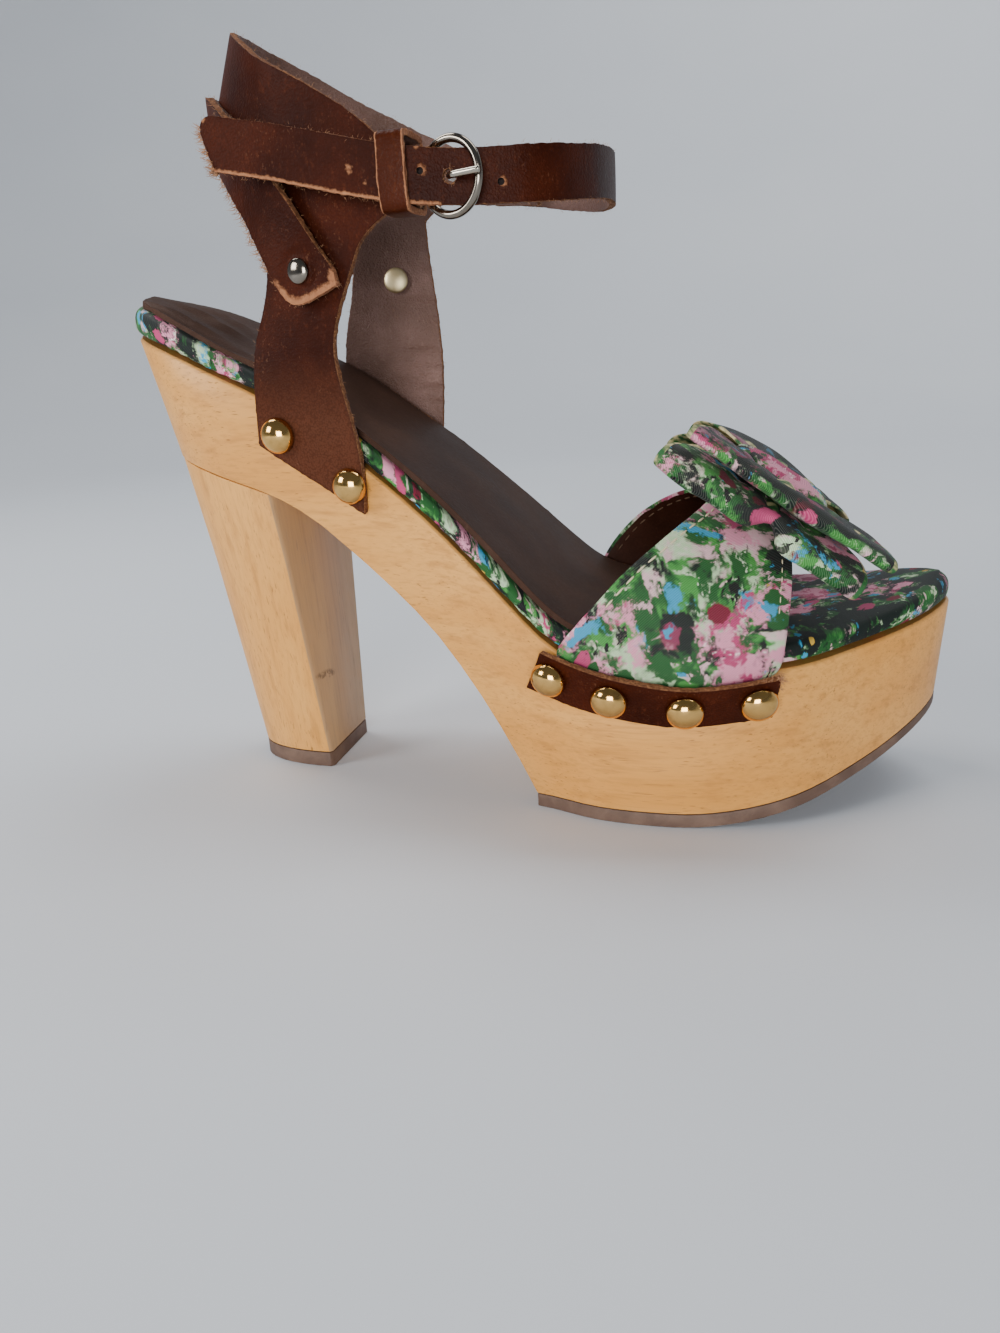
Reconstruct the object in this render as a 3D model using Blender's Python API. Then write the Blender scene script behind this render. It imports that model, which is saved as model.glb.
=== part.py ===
# Platform sandal, right shoe: carved wood sole and block heel, fabric vamp with a ribbon bow,
# leather quarters joined by an ankle band, and a buckled strap.
#
# Working frame: +X to the toe, +Y to the inner (medial) side, +Z up, floor at z = 0, and x = 0
# at the front face of the heel. All sizes in the tables are millimetres. At the end every piece
# is moved so that the origin is the bottom centre of the whole shoe.

import math

import bmesh
import bpy
import numpy as np

MM = 0.001
MERGE = 0.01                # points closer than this become one

# Driving sizes
GAP = 0.3                   # air between two pieces that touch in the real shoe
OUTSOLE_THICK = 4.0         # rubber under the forefoot
OUTSOLE_TOE_THICK = 2.9     # it thins to the toe
HEEL_TIP_THICK = 4.6        # rubber under the heel
ROLL_START = 105.0          # where the forefoot starts to leave the floor
TOE_SPRING = 22.2           # height of the outsole at the toe tip
WAIST_CORNER = 8            # row of SOLE at which the arch drops to the flat forefoot
WOOD_EDGE_DROP = 0.8        # eased upper edge of the wood, down its wall and in on its top
WOOD_EDGE_IN = 0.6
HEEL_SEAM_X = -20.0         # the seam's height here divides the heel block into its sections
HEEL_POWER = 2.2            # squareness of the heel's D shape
HEEL_CORNER_X = 0.9         # cut corners of its flat front
HEEL_CORNER_Y = 1.1
HEEL_STEPS = 25             # points round the D
INSOLE_REAR = 5.6           # padded insole under the leather sock
INSOLE_TOE = 6.4            # padded insole where the toes rest
INSOLE_TOE_RUN = 16.0       # length over which it thickens in front of the sock
INSOLE_HEEL_RISE = 2.0      # more padding under the heel
INSOLE_HEEL_START = -10.0
INSOLE_HEEL_RUN = 30.0
INSOLE_OVERHANG = 1.2       # it stands out over the wood at the heel
OVERHANG_START = -20.0
OVERHANG_RUN = 25.0
PAD_COLUMNS = 4             # columns of faces across the insole and the sock
SOCK_THICK = 1.4
SOCK_END = 104.0            # the leather sock stops under the vamp
SOCK_INSET = 3.4
SOCK_SLOPE_REACH = 2.0      # the foot bed's slope is measured this far to both sides
SOCK_UNDER = (20.0, 0.0, -500.0)    # a point on the side away from the sock's outer face
PAD_CROWN = 0.5             # rise of the padding in the middle
VAMP_THICK = 1.6
VAMP_TOP_X = 110.0          # the vamp's ridge line passes this point
VAMP_TOP_Z = 82.0
VAMP_SLOPE = -0.38
ARCH_POWER = 2.5            # squareness of the arch across the foot
ARCH_STEPS = 11             # points from the nailed edge to the ridge
ARCH_COLUMNS = 9            # points from the rear to the front edge
FOREFOOT = (100.0, 0.0, 45.0)       # a point inside the arch
STRIP_THICK = 1.8
STRIP_SLANT = 2.4           # the strip's ends lean, the front end less than the rear one
STRIP_SLANT_FRONT = 0.4
STRIP_STEPS = 15
STRIP_HALF = 5.6            # half height of the nailed strip
STRIP_FLARE = 1.55          # its upper edge stands off over the vamp
VAMP_TUCK = 1.2             # the vamp's edge is tucked behind it by this much
LEATHER_THICK = 2.0
STRAP_WIDTH = 11.2
HEEL_STRAP_WIDTH = 14.8
STRAP_THICK = 1.8
STUD_RADIUS = 4.7
STUD_HEIGHT = 3.6
STUD_LIFT = 0.25            # the stud's rim stands a little higher than the gap
STUD_REACH = 4.0            # the strip's direction at a stud is measured this far to both sides
RIVET_RADIUS = 2.9
RIVET_INNER_RADIUS = 3.6    # the caps inside the quarters are wider
RIVET_HEIGHT = 1.1
RIVET_LIFT = 0.15           # an outer cap stands a little higher than the gap over the bent strap
CAP_FLAT = 0.55             # inner share of a cap's flat underside
CAP_STEPS = 3               # rings from a cap's rim to its top
CAP_TOP = 0.4               # part of a ring that the flat top replaces
CAP_SIDES = 14
RING_RADIUS = 7.5           # buckle ring, middle of the wire
RING_WIRE = 0.95
RING_TURN = 20.0            # degrees the ring stands off the strap
RING_STEPS = 28
RING_SIDES = 6
PRONG_RADIUS = 0.85
PRONG_SIDES = 8
KEEPER_WIDTH = 6.4
KEEPER_THICK = 1.6
KEEPER_X = 45.4
KEEPER_IN = -30.2           # its inner and outer run, and its lower and upper run
KEEPER_OUT = -43.4
KEEPER_LOW = 150.6
KEEPER_HIGH = 165.8
KEEPER_CORNER = 1.6
RIBBON_THICK = 1.1
BOW_SLOPE = 35.0            # degrees the bow leans down to the toe
BOW_ROLL = 3.4              # degrees the bow tips down to the inner side
BOW_CENTRE = (128.6, 0.0, 82.8)


def table(columns, *rows):
    """Named columns from short rows, one row for each section."""
    return {name: np.array([row[i] for row in rows], float) for i, name in enumerate(columns)}


# Plan outline of the wood sole at its top edge and at its lower edge, heel to toe
SOLE = table(
    ("x_top", "lat_top", "med_top", "x_low", "lat_low", "med_low"),
    (-47.8, 0.0, 0.0, -40.4, 0.0, 0.0),
    (-46.0, -9.0, 9.0, -38.8, -8.6, 8.6),
    (-40.5, -17.0, 17.0, -34.4, -15.6, 15.6),
    (-31.0, -23.2, 23.2, -26.8, -21.0, 21.0),
    (-16.0, -27.2, 27.0, -15.0, -24.9, 24.9),
    (0.0, -28.8, 27.6, 0.0, -26.4, 26.2),
    (25.0, -30.8, 27.0, 24.0, -27.6, 25.6),
    (48.0, -34.0, 28.8, 48.0, -28.8, 26.4),
    (68.0, -38.6, 33.0, 68.0, -30.0, 28.6),
    (86.0, -41.8, 36.8, 86.0, -35.6, 33.0),
    (104.0, -41.6, 38.4, 104.0, -36.8, 35.6),
    (120.0, -38.6, 38.0, 120.0, -34.8, 36.0),
    (136.0, -32.4, 36.0, 136.0, -29.8, 34.4),
    (150.0, -21.6, 32.0, 150.0, -20.2, 30.8),
    (162.4, -11.6, 26.4, 161.6, -10.4, 25.2),
    (171.0, -1.0, 18.8, 169.8, -0.4, 18.0),
    (174.2, 9.0, 9.0, 172.8, 9.0, 9.0),
)

# Height of the wood's top edge along the shoe
WOOD_TOP = table(
    ("x", "z"),
    (-47.8, 129.6), (-32.0, 124.8), (-15.0, 117.9), (5.0, 108.6), (28.0, 92.6), (42.0, 81.2),
    (60.0, 64.2), (68.0, 56.2), (75.0, 50.2), (82.0, 46.6), (92.0, 44.6), (110.0, 43.4),
    (131.0, 44.0), (147.0, 45.6), (163.0, 48.6), (174.2, 51.2),
)

# Height of the wood's underside from the heel back to the waist corner
WOOD_LOW = table(
    ("x", "z"),
    (-40.4, 97.2), (-20.0, 91.6), (-3.0, 86.2), (8.0, 80.4), (19.5, 71.0), (31.0, 60.4),
    (40.5, 50.4), (50.6, 36.2), (59.6, 20.6), (68.0, 4.0),
)

# Edge of the insole from its underside up: distance inside the wood's edge, share of its height
INSOLE_EDGE = ((0.8, 0.0), (0.4, 0.25), (0.3, 0.55), (0.9, 0.85), (2.6, 1.0))

# Heel block from its foot to the seam under the sole: share of height, back, front, half width
HEEL = table(
    ("share", "x_back", "x_front", "half"),
    (0.0, -28.4, -0.4, 14.2),
    (0.35, -31.8, -1.4, 18.2),
    (0.7, -35.4, -2.4, 22.3),
    (1.0, -40.0, -3.2, 25.9),
)

# Rear and front edge of the vamp over its arch, by the angle above the nailed edge
VAMP_EDGE = table(
    ("angle", "rear_lat", "rear_med", "front"),
    (0.0, 74.4, 73.0, 131.0),
    (5.0, 78.4, 75.4, 131.6),
    (14.0, 85.0, 80.4, 132.2),
    (26.0, 91.4, 87.0, 132.8),
    (49.0, 102.6, 100.0, 133.2),
    (67.0, 108.8, 108.4, 132.4),
    (90.0, 113.0, 113.0, 131.0),
)

# Middle line of the nailed strip, the same on both sides, and the four studs on it
STRIP = table(("x", "z"), (71.0, 44.0), (80.0, 41.2), (91.0, 38.4), (109.0, 36.0), (130.0, 37.8))
STRIP_STUDS = (75.5, 90.7, 108.7, 125.7)

# Ankle band around the leg, outer face, from the buckle arm round the back to the inner arm
BAND = table(
    ("x", "y", "z_low", "z_high"),
    (52.0, -33.4, 152.2, 162.8),
    (47.0, -33.9, 152.0, 163.2),
    (42.0, -34.2, 152.4, 164.4),
    (34.0, -34.0, 155.2, 172.0),
    (25.0, -33.4, 160.4, 177.8),
    (15.0, -31.6, 166.6, 183.6),
    (5.0, -27.4, 172.4, 188.8),
    (-5.0, -19.4, 178.6, 194.2),
    (-11.6, -10.4, 183.2, 197.8),
    (-14.4, 0.0, 184.8, 199.2),
    (-11.6, 10.4, 183.2, 197.8),
    (-5.0, 19.4, 179.4, 194.8),
    (5.0, 27.4, 174.0, 190.4),
    (15.0, 31.6, 169.0, 185.6),
    (25.0, 33.4, 164.8, 180.4),
    (34.0, 34.0, 161.8, 176.0),
    (46.0, 33.8, 158.8, 171.6),
    (62.0, 31.4, 157.2, 169.2),
)
BAND_LEAN = 0.5             # the back of the band leans to the toe as it rises
BAND_LEAN_START = 10.0      # the lean starts here and is full after the run
BAND_LEAN_RUN = 27.0
BAND_LEVELS = 4             # points from its lower to its upper edge
LEG_COLUMNS = {-1: (2, 6), 1: (12, 15)}     # rows of BAND between which each quarter hangs

# Edges of the two quarters from their nailed end up to the band
LEG_LATERAL = table(
    ("x_rear", "z_rear", "x_front", "z_front"),
    (-2.6, 99.6, 26.0, 81.6),
    (-1.6, 110.0, 27.2, 94.0),
    (-0.8, 119.0, 25.2, 107.0),
    (0.4, 127.0, 22.4, 121.0),
    (4.0, 135.5, 25.0, 130.5),
    (6.0, 146.0, 28.6, 138.0),
    (6.2, 159.0, 33.0, 147.0),
)
LEG_MEDIAL = table(
    ("x_rear", "z_rear", "x_front", "z_front"),
    (-2.6, 99.6, 27.6, 81.6),
    (-1.6, 110.0, 29.4, 97.0),
    (-0.6, 119.0, 30.4, 110.0),
    (1.0, 127.0, 30.4, 122.0),
    (3.6, 135.5, 29.2, 134.0),
    (5.4, 147.0, 27.6, 146.0),
    (6.2, 161.0, 27.0, 156.0),
)
LEG_TURN_Z = 112.0          # a quarter leaves the wood's wall here for the ankle's line
LEG_TURN_RUN = 40.0
LEG_REACH = 3.0             # a quarter's direction is measured this far to all sides
LEG_MIDDLE = (25.0, 0.0, 0.0)       # a point on the leg's upright middle line
LEG_STUDS = ((4.2, 102.3), (23.2, 89.3))
RIVET = (17.2, 140.4)

# Back strap: middle line of one side, from the rounded end under the rivet to the back
HEEL_STRAP = table(
    ("x", "y", "z"),
    (22.0, 35.0, 134.6),
    (17.2, 34.6, 140.4),
    (13.0, 33.8, 147.8),
    (7.0, 31.4, 157.2),
    (-1.6, 25.2, 167.0),
    (-10.2, 15.6, 174.4),
    (-15.6, 7.2, 177.6),
    (-17.4, 0.0, 178.4),
)

HEEL_STRAP_END = ((0, 1, 2, 3), (0.68, 0.93, 1.0, 1.0))     # share of the width, point by point
HEEL_STRAP_SKEW = 0.32      # the ends are cut nearly level, not square to the strap
HEEL_STRAP_MIDDLE = (14.0, 0.0)     # plan points that the two straps run around
STRAP_MIDDLE = (40.0, 0.0)

# Buckled strap: middle line from the lap on the inner arm, round the front, to the free tip
STRAP = table(
    ("x", "y", "z", "skew"),
    (49.0, 34.9, 164.6, 0.0),
    (56.0, 34.2, 163.6, 0.0),
    (63.0, 33.2, 162.6, 0.0),
    (72.0, 30.4, 160.8, 0.0),
    (80.0, 23.8, 159.2, 0.0),
    (84.8, 13.4, 159.0, 0.0),
    (86.2, 0.0, 159.0, 0.0),
    (85.2, -13.6, 158.2, 0.0),
    (81.0, -25.6, 157.0, 0.0),
    (74.4, -33.2, 156.4, 0.0),
    (66.0, -36.6, 156.2, 0.0),
    (57.3, -38.9, 156.5, 0.0),
    (48.0, -41.2, 157.4, 0.0),
    (38.0, -41.6, 159.4, 0.0),
    (26.0, -41.2, 162.4, 0.0),
    (14.0, -40.6, 165.4, -0.2),
    (-0.4, -39.0, 168.4, -0.5),
)
PRONG_HOLE = (57.3, -38.9, 156.5)
PRONG_HOLE_RADIUS = 1.5
PRONG_HOLE_REACH = 4.0      # half length of its cutter
PRONG_HOLE_SIDES = 12

# Bends of the prong from the hole outwards, measured from the hole, and its end on the ring
PRONG_BENDS = ((0.0, 1.6, 0.0), (0.0, -0.6, 0.0), (0.5, -2.3, 0.0), (2.4, -3.5, 0.0))
PRONG_REST = (0.0, -2.1, 0.2)

# One loop of the bow, from its pinched middle to the outer fold: share of reach, half width
# along the shoe, half opening between the two layers
BOW_LOOP = table(
    ("share", "half", "open"),
    (0.0, 10.6, 0.95),
    (0.24, 11.2, 0.95),
    (0.42, 18.4, 1.6),
    (0.7, 25.0, 2.3),
    (0.9, 28.0, 2.2),
    (1.0, 28.6, 1.0),
)
BOW_REACH = 37.0
BOW_LAYERS = {"bow_loop_lower": (-1.75, -2.2, -1.6), "bow_loop_upper": (1.75, 3.2, 1.2)}
BOW_PLEAT = 1.6             # depth of the fold that runs out from the knot
BOW_PINCH = 0.24            # share of the reach that the knot covers
BOW_DROOP = 2.2             # the ends hang down
BOW_FOLD_SHARES = (0.96, 1.0)       # last steps of the reach, where the ribbon turns back
BOW_RUN_END = 0.9           # end of the even steps from the knot
BOW_RUN_STEPS = 5
BOW_COLUMNS = 7             # points across the ribbon
KNOT_HALF_WIDTH = 8.0
KNOT_HALF_DEPTH = 13.6
KNOT_HALF_HEIGHT = 5.0
KNOT_THICK = 1.4
KNOT_POWER = 0.5            # squareness of the knot's section
KNOT_STEPS = 24

METALS = ("gold", "nickel")
METAL_ROUGH = 0.25
PLAIN_ROUGH = 0.6
COLOURS = {
    "wood": (0.62, 0.38, 0.16, 1.0),
    "rubber": (0.10, 0.06, 0.04, 1.0),
    "leather": (0.09, 0.03, 0.018, 1.0),
    "sock": (0.12, 0.075, 0.06, 1.0),
    "fabric": (0.30, 0.36, 0.22, 1.0),
    "gold": (0.80, 0.62, 0.32, 1.0),
    "nickel": (0.70, 0.68, 0.62, 1.0),
}


def smooth_curve(xs, ys, x):
    """Smooth interpolation of a table column, without overshoot."""
    xs = np.asarray(xs, float)
    ys = np.asarray(ys, float)
    x = np.clip(np.asarray(x, float), xs[0], xs[-1])
    step = np.diff(xs)
    slope = np.diff(ys) / step
    tangent = np.zeros(len(xs))
    tangent[0] = slope[0]
    tangent[-1] = slope[-1]
    for i in range(1, len(xs) - 1):
        if slope[i - 1] * slope[i] > 0.0:
            tangent[i] = 2.0 * slope[i - 1] * slope[i] / (slope[i - 1] + slope[i])
    i = np.clip(np.searchsorted(xs, x, side="right") - 1, 0, len(step) - 1)
    t = (x - xs[i]) / step[i]
    rise = step[i]
    return (ys[i] * (1 + 2 * t) * (1 - t) ** 2 + tangent[i] * rise * t * (1 - t) ** 2
            + ys[i + 1] * t * t * (3 - 2 * t) - tangent[i + 1] * rise * t * t * (1 - t))


def spline(points, per_span, closed=False):
    """Points on a smooth line through the given points."""
    points = np.asarray(points, float)
    count = len(points)
    spans = count if closed else count - 1
    out = []
    for i in range(spans):
        if closed:
            a, b, c, d = (points[(i + k) % count] for k in (-1, 0, 1, 2))
        else:
            b, c = points[i], points[i + 1]
            a = points[i - 1] if i > 0 else 2 * b - c
            d = points[i + 2] if i + 2 < count else 2 * c - b
        for t in np.arange(per_span) / per_span:
            out.append(0.5 * (2 * b + (c - a) * t + (2 * a - 5 * b + 4 * c - d) * t ** 2
                              + (3 * b - a - 3 * c + d) * t ** 3))
    if not closed:
        out.append(points[-1])
    return np.array(out)


def outline(x, lateral, medial, per_span):
    """Closed plan line: heel, outer side, toe, inner side. Point i faces point -i."""
    outer = np.stack([x, lateral], 1)
    inner = np.stack([x, medial], 1)[-2:0:-1]
    return spline(np.concatenate([outer, inner]), per_span, closed=True)


def inset(line, distance):
    """A closed plan line moved inwards."""
    along = np.roll(line, -1, 0) - np.roll(line, 1, 0)
    normal = np.stack([-along[:, 1], along[:, 0]], 1)
    normal /= np.linalg.norm(normal, axis=1, keepdims=True)
    area = np.sum(line[:, 0] * np.roll(line[:, 1], -1) - np.roll(line[:, 0], -1) * line[:, 1])
    return line + normal * distance * (1.0 if area > 0 else -1.0)


def wood_top(x):
    return smooth_curve(WOOD_TOP["x"], WOOD_TOP["z"], x)


def roll(x):
    """Height of the outsole's underside: flat, then rising to the toe."""
    reach = SOLE["x_low"][-1] - ROLL_START
    return TOE_SPRING * (np.maximum(np.asarray(x, float) - ROLL_START, 0.0) / reach) ** 2


def wood_low(x):
    """Height of the wood's underside: the arch behind the waist corner, then the outsole's top."""
    rear = smooth_curve(WOOD_LOW["x"], WOOD_LOW["z"], x)
    thinner = (OUTSOLE_THICK - OUTSOLE_TOE_THICK) * roll(x) / TOE_SPRING
    front = OUTSOLE_THICK + roll(x) - thinner
    return np.where(np.asarray(x) < WOOD_LOW["x"][-1], rear, front)


PER_SPAN = 4
TOP_LINE = outline(SOLE["x_top"], SOLE["lat_top"], SOLE["med_top"], PER_SPAN)
LOW_LINE = outline(SOLE["x_low"], SOLE["lat_low"], SOLE["med_low"], PER_SPAN)
HALF = len(TOP_LINE) // 2


def side_y(line, side, x):
    """Distance of the outline from the middle line at x, on one side (-1 outer, 1 inner)."""
    part = line[:HALF + 1] if side < 0 else np.concatenate([line[HALF:], line[:1]])[::-1]
    return np.interp(x, part[:, 0], part[:, 1])


def wall_y(side, x, z):
    """The wood's side wall at x and height z."""
    low, top = wood_low(x), wood_top(x)
    share = np.clip((z - low) / (top - low), 0.0, 1.0)
    return side_y(LOW_LINE, side, x) * (1 - share) + side_y(TOP_LINE, side, x) * share


def lift(line, height):
    """Give a plan line its heights."""
    return np.column_stack([line, height])


def material(kind):
    found = bpy.data.materials.get(kind)
    if found:
        return found
    made = bpy.data.materials.new(kind)
    made.use_nodes = True
    shader = made.node_tree.nodes["Principled BSDF"]
    shader.inputs["Base Color"].default_value = COLOURS[kind]
    shader.inputs["Metallic"].default_value = 1.0 if kind in METALS else 0.0
    shader.inputs["Roughness"].default_value = METAL_ROUGH if kind in METALS else PLAIN_ROUGH
    return made


def add_object(name, kind, points, faces):
    """One closed body from points in millimetres."""
    mesh = bpy.data.meshes.new(name)
    mesh.from_pydata([tuple(p) for p in np.asarray(points) * MM], [], faces)
    body = bmesh.new()
    body.from_mesh(mesh)
    bmesh.ops.remove_doubles(body, verts=body.verts, dist=MERGE * MM)
    bmesh.ops.triangulate(body, faces=body.faces)
    bmesh.ops.recalc_face_normals(body, faces=body.faces)
    if body.calc_volume(signed=True) < 0.0:
        bmesh.ops.reverse_faces(body, faces=body.faces)
    body.to_mesh(mesh)
    body.free()
    made = bpy.data.objects.new(name, mesh)
    made.data.materials.append(material(kind))
    bpy.context.scene.collection.objects.link(made)
    return made


def ring_walls(rings, count):
    """Quads between rings of points, one ring after the other."""
    faces = []
    for level in range(rings - 1):
        for i in range(count):
            j = (i + 1) % count
            faces.append((level * count + i, level * count + j,
                          (level + 1) * count + j, (level + 1) * count + i))
    return faces


def add_loft(name, kind, rings, columns=1, crown=None):
    """Closed body from rings of equal length, bottom first. The ends are closed by strips
    between point i and point -i; the top may have columns raised by crown(share)."""
    count = len(rings[0])
    points = np.concatenate(rings)
    faces = ring_walls(len(rings), count)
    half = count // 2
    for i in range(half):
        faces.append((i, i + 1, (count - i - 1) % count, (count - i) % count))
    top = (len(rings) - 1) * count
    extra = []
    rows = []
    for i in range(half + 1):
        a, b = top + i, top + (count - i) % count
        row = [a]
        for c in range(1, columns):
            share = c / columns
            point = points[a] * (1 - share) + points[b] * share
            if a != b and crown:
                point = point + np.array((0.0, 0.0, crown(share)))
            row.append(len(points) + len(extra))
            extra.append(point)
        row.append(b)
        rows.append(row)
    for first, second in zip(rows, rows[1:]):
        for c in range(columns):
            faces.append((first[c], second[c], second[c + 1], first[c + 1]))
    if extra:
        points = np.concatenate([points, np.array(extra)])
    return add_object(name, kind, points, faces)


def add_prism(name, kind, rings):
    """Closed body from open D shaped rings whose ends meet at the flat front."""
    count = len(rings[0])
    points = np.concatenate(rings)
    faces = ring_walls(len(rings), count)
    for base in (0, (len(rings) - 1) * count):
        for i in range(count // 2):
            faces.append((base + i, base + i + 1, base + count - 2 - i, base + count - 1 - i))
    return add_object(name, kind, points, [f for f in faces if len(set(f)) > 2])


def sheet_normals(points, faces):
    """Outward direction at each point of an open sheet."""
    normals = np.zeros_like(points)
    for face in faces:
        a, b, c = points[face[0]], points[face[1]], points[face[2]]
        d = points[face[-1]]
        normal = np.cross(c - a, d - b) if len(face) == 4 else np.cross(b - a, c - a)
        for index in face:
            normals[index] += normal
    return normals / np.maximum(np.linalg.norm(normals, axis=1, keepdims=True), 1e-9)


def outward(points, faces, inside):
    """Turn the faces of a sheet so that they look away from a point inside."""
    points = np.asarray(points, float)
    normals = sheet_normals(points, faces)
    away = points - np.asarray(inside)
    if np.sum(normals * away) < 0.0:
        return [tuple(reversed(face)) for face in faces]
    return faces


def outward_each(points, faces):
    """Turn each face of the collar away from the leg's middle line."""
    points = np.asarray(points, float)
    turned = []
    for face in faces:
        corners = points[list(face)]
        normal = np.cross(corners[2] - corners[0], corners[3] - corners[1])
        away = corners.mean(0) - np.array(LEG_MIDDLE)
        away[2] = 0.0
        turned.append(face if np.dot(normal, away) > 0.0 else tuple(reversed(face)))
    return turned


def add_sheet(name, kind, points, faces, thickness):
    """Closed body from an outer face given as a sheet, thickened inwards."""
    points = np.asarray(points, float)
    back = points - sheet_normals(points, faces) * thickness
    count = len(points)
    edges = {}
    for face in faces:
        for a, b in zip(face, face[1:] + face[:1]):
            edges[(a, b)] = True
    walls = [(b, a, a + count, b + count) for a, b in edges if (b, a) not in edges]
    inner = [tuple(index + count for index in reversed(face)) for face in faces]
    return add_object(name, kind, np.concatenate([points, back]), list(faces) + inner + walls)


def grid_faces(rows, columns, first=0, wrap=False):
    """Quads of a grid of points stored row by row."""
    faces = []
    for i in range(rows if wrap else rows - 1):
        k = (i + 1) % rows
        for j in range(columns - 1):
            faces.append((first + i * columns + j, first + i * columns + j + 1,
                          first + k * columns + j + 1, first + k * columns + j))
    return faces


def directions(path, closed):
    """Unit direction at each point of a path."""
    if closed:
        along = np.roll(path, -1, 0) - np.roll(path, 1, 0)
    else:
        along = np.gradient(path, axis=0)
    return along / np.linalg.norm(along, axis=1, keepdims=True)


def add_ribbon(name, kind, path, normals, widths, thickness, skew=None, closed=False):
    """Flat strap swept along a path; normals point to its outer face."""
    path = np.asarray(path, float)
    along = directions(path, closed)
    normals = normals - along * np.sum(normals * along, axis=1, keepdims=True)
    normals /= np.linalg.norm(normals, axis=1, keepdims=True)
    across = np.cross(normals, along)
    if skew is not None:
        across = across + along * skew[:, None]
    half = (np.asarray(widths, float) / 2)[:, None] * across
    deep = normals * thickness / 2
    corners = [path - half + deep, path + half + deep, path + half - deep, path - half - deep]
    points = np.stack(corners, 1).reshape(-1, 3)
    faces = []
    count = len(path)
    for i in range(count if closed else count - 1):
        j = (i + 1) % count
        for k in range(4):
            m = (k + 1) % 4
            faces.append((4 * i + k, 4 * i + m, 4 * j + m, 4 * j + k))
    if not closed:
        faces.append((3, 2, 1, 0))
        end = 4 * (count - 1)
        faces.append((end, end + 1, end + 2, end + 3))
    return add_object(name, kind, points, faces)


def add_turned(name, kind, profile, place, axis, segments):
    """Turned body: profile rows are (radius, height) along the axis, first and last on it."""
    axis = np.asarray(axis, float)
    axis /= np.linalg.norm(axis)
    first = np.cross(axis, (0.0, 0.0, 1.0) if abs(axis[2]) < 0.9 else (1.0, 0.0, 0.0))
    first /= np.linalg.norm(first)
    second = np.cross(axis, first)
    place = np.asarray(place, float)
    points = []
    for radius, height in profile:
        for k in range(segments):
            turn = 2 * math.pi * k / segments
            around = first * math.cos(turn) + second * math.sin(turn)
            points.append(place + axis * height + around * radius)
    faces = ring_walls(len(profile), segments)
    faces.append(tuple(range(segments))[::-1])
    last = (len(profile) - 1) * segments
    faces.append(tuple(last + k for k in range(segments)))
    return add_object(name, kind, points, faces)


def dome_profile(radius, height):
    """A cap: flat underside, round top."""
    rows = [(radius * CAP_FLAT, 0.0), (radius, 0.0)]
    for k in range(1, CAP_STEPS + 1):
        turn = math.pi / 2 * k / (CAP_STEPS + CAP_TOP)
        rows.append((radius * math.cos(turn), height * math.sin(turn)))
    return rows


def add_tube(name, kind, path, radius, segments, closed=False):
    """Round wire along a path in a plane that is not level."""
    path = np.asarray(path, float)
    along = directions(path, closed)
    plane = np.cross(path[1] - path[0], path[len(path) // 2] - path[0])
    plane /= np.linalg.norm(plane)
    points = []
    for place, forward in zip(path, along):
        side = np.cross(forward, plane)
        side /= np.linalg.norm(side)
        for k in range(segments):
            turn = 2 * math.pi * k / segments
            points.append(place + radius * (math.cos(turn) * side + math.sin(turn) * plane))
    count = len(path)
    faces = []
    for i in range(count if closed else count - 1):
        j = (i + 1) % count
        for k in range(segments):
            m = (k + 1) % segments
            faces.append((i * segments + k, i * segments + m, j * segments + m, j * segments + k))
    if not closed:
        faces.append(tuple(range(segments))[::-1])
        faces.append(tuple((count - 1) * segments + k for k in range(segments)))
    return add_object(name, kind, points, faces)


def build_sole():
    """Wood platform, heel block, rubber outsole and heel tip."""
    low = lift(LOW_LINE, wood_low(LOW_LINE[:, 0]))
    top = lift(TOP_LINE, wood_top(TOP_LINE[:, 0]))
    middle = low * 0.5 + top * 0.5
    edge = top * 1.0
    edge[:, 2] -= WOOD_EDGE_DROP
    rounded = lift(inset(TOP_LINE, WOOD_EDGE_IN), wood_top(TOP_LINE[:, 0]))
    add_loft("wood_sole", "wood", [low, middle, edge, rounded])

    first = WAIST_CORNER * PER_SPAN
    forefoot = LOW_LINE[first:len(LOW_LINE) - first + 1]
    along = forefoot[:, 0]
    add_prism("outsole", "rubber",
              [lift(forefoot, roll(along)), lift(forefoot, wood_low(along) - GAP)])

    def heel_ring(share, height):
        back = np.interp(share, HEEL["share"], HEEL["x_back"])
        front = np.interp(share, HEEL["share"], HEEL["x_front"])
        half = np.interp(share, HEEL["share"], HEEL["half"])
        turns = np.linspace(0.0, math.pi, HEEL_STEPS)
        corner = front - HEEL_CORNER_X
        x = corner - (corner - back) * np.abs(np.sin(turns)) ** (2 / HEEL_POWER)
        y = -half * np.sign(np.cos(turns)) * np.abs(np.cos(turns)) ** (2 / HEEL_POWER)
        x = np.concatenate([[front], x, [front]])
        y = np.concatenate([[-half + HEEL_CORNER_Y], y, [half - HEEL_CORNER_Y]])
        return lift(np.stack([x, y], 1), height(x))

    foot = HEEL_TIP_THICK

    def level(height):
        return lambda x: np.full(len(x), height)

    seam = float(wood_low(HEEL_SEAM_X))
    rings = [heel_ring(0.0, level(foot + GAP))]
    for share in HEEL["share"][1:-1]:
        rings.append(heel_ring(share, level(foot + (seam - foot) * share)))
    rings.append(heel_ring(1.0, lambda x: wood_low(x) - GAP))
    add_prism("heel_block", "wood", rings)
    tip = [heel_ring(0.0, level(0.0)), heel_ring(0.0, level(foot))]
    add_prism("heel_tip", "rubber", tip)


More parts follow.
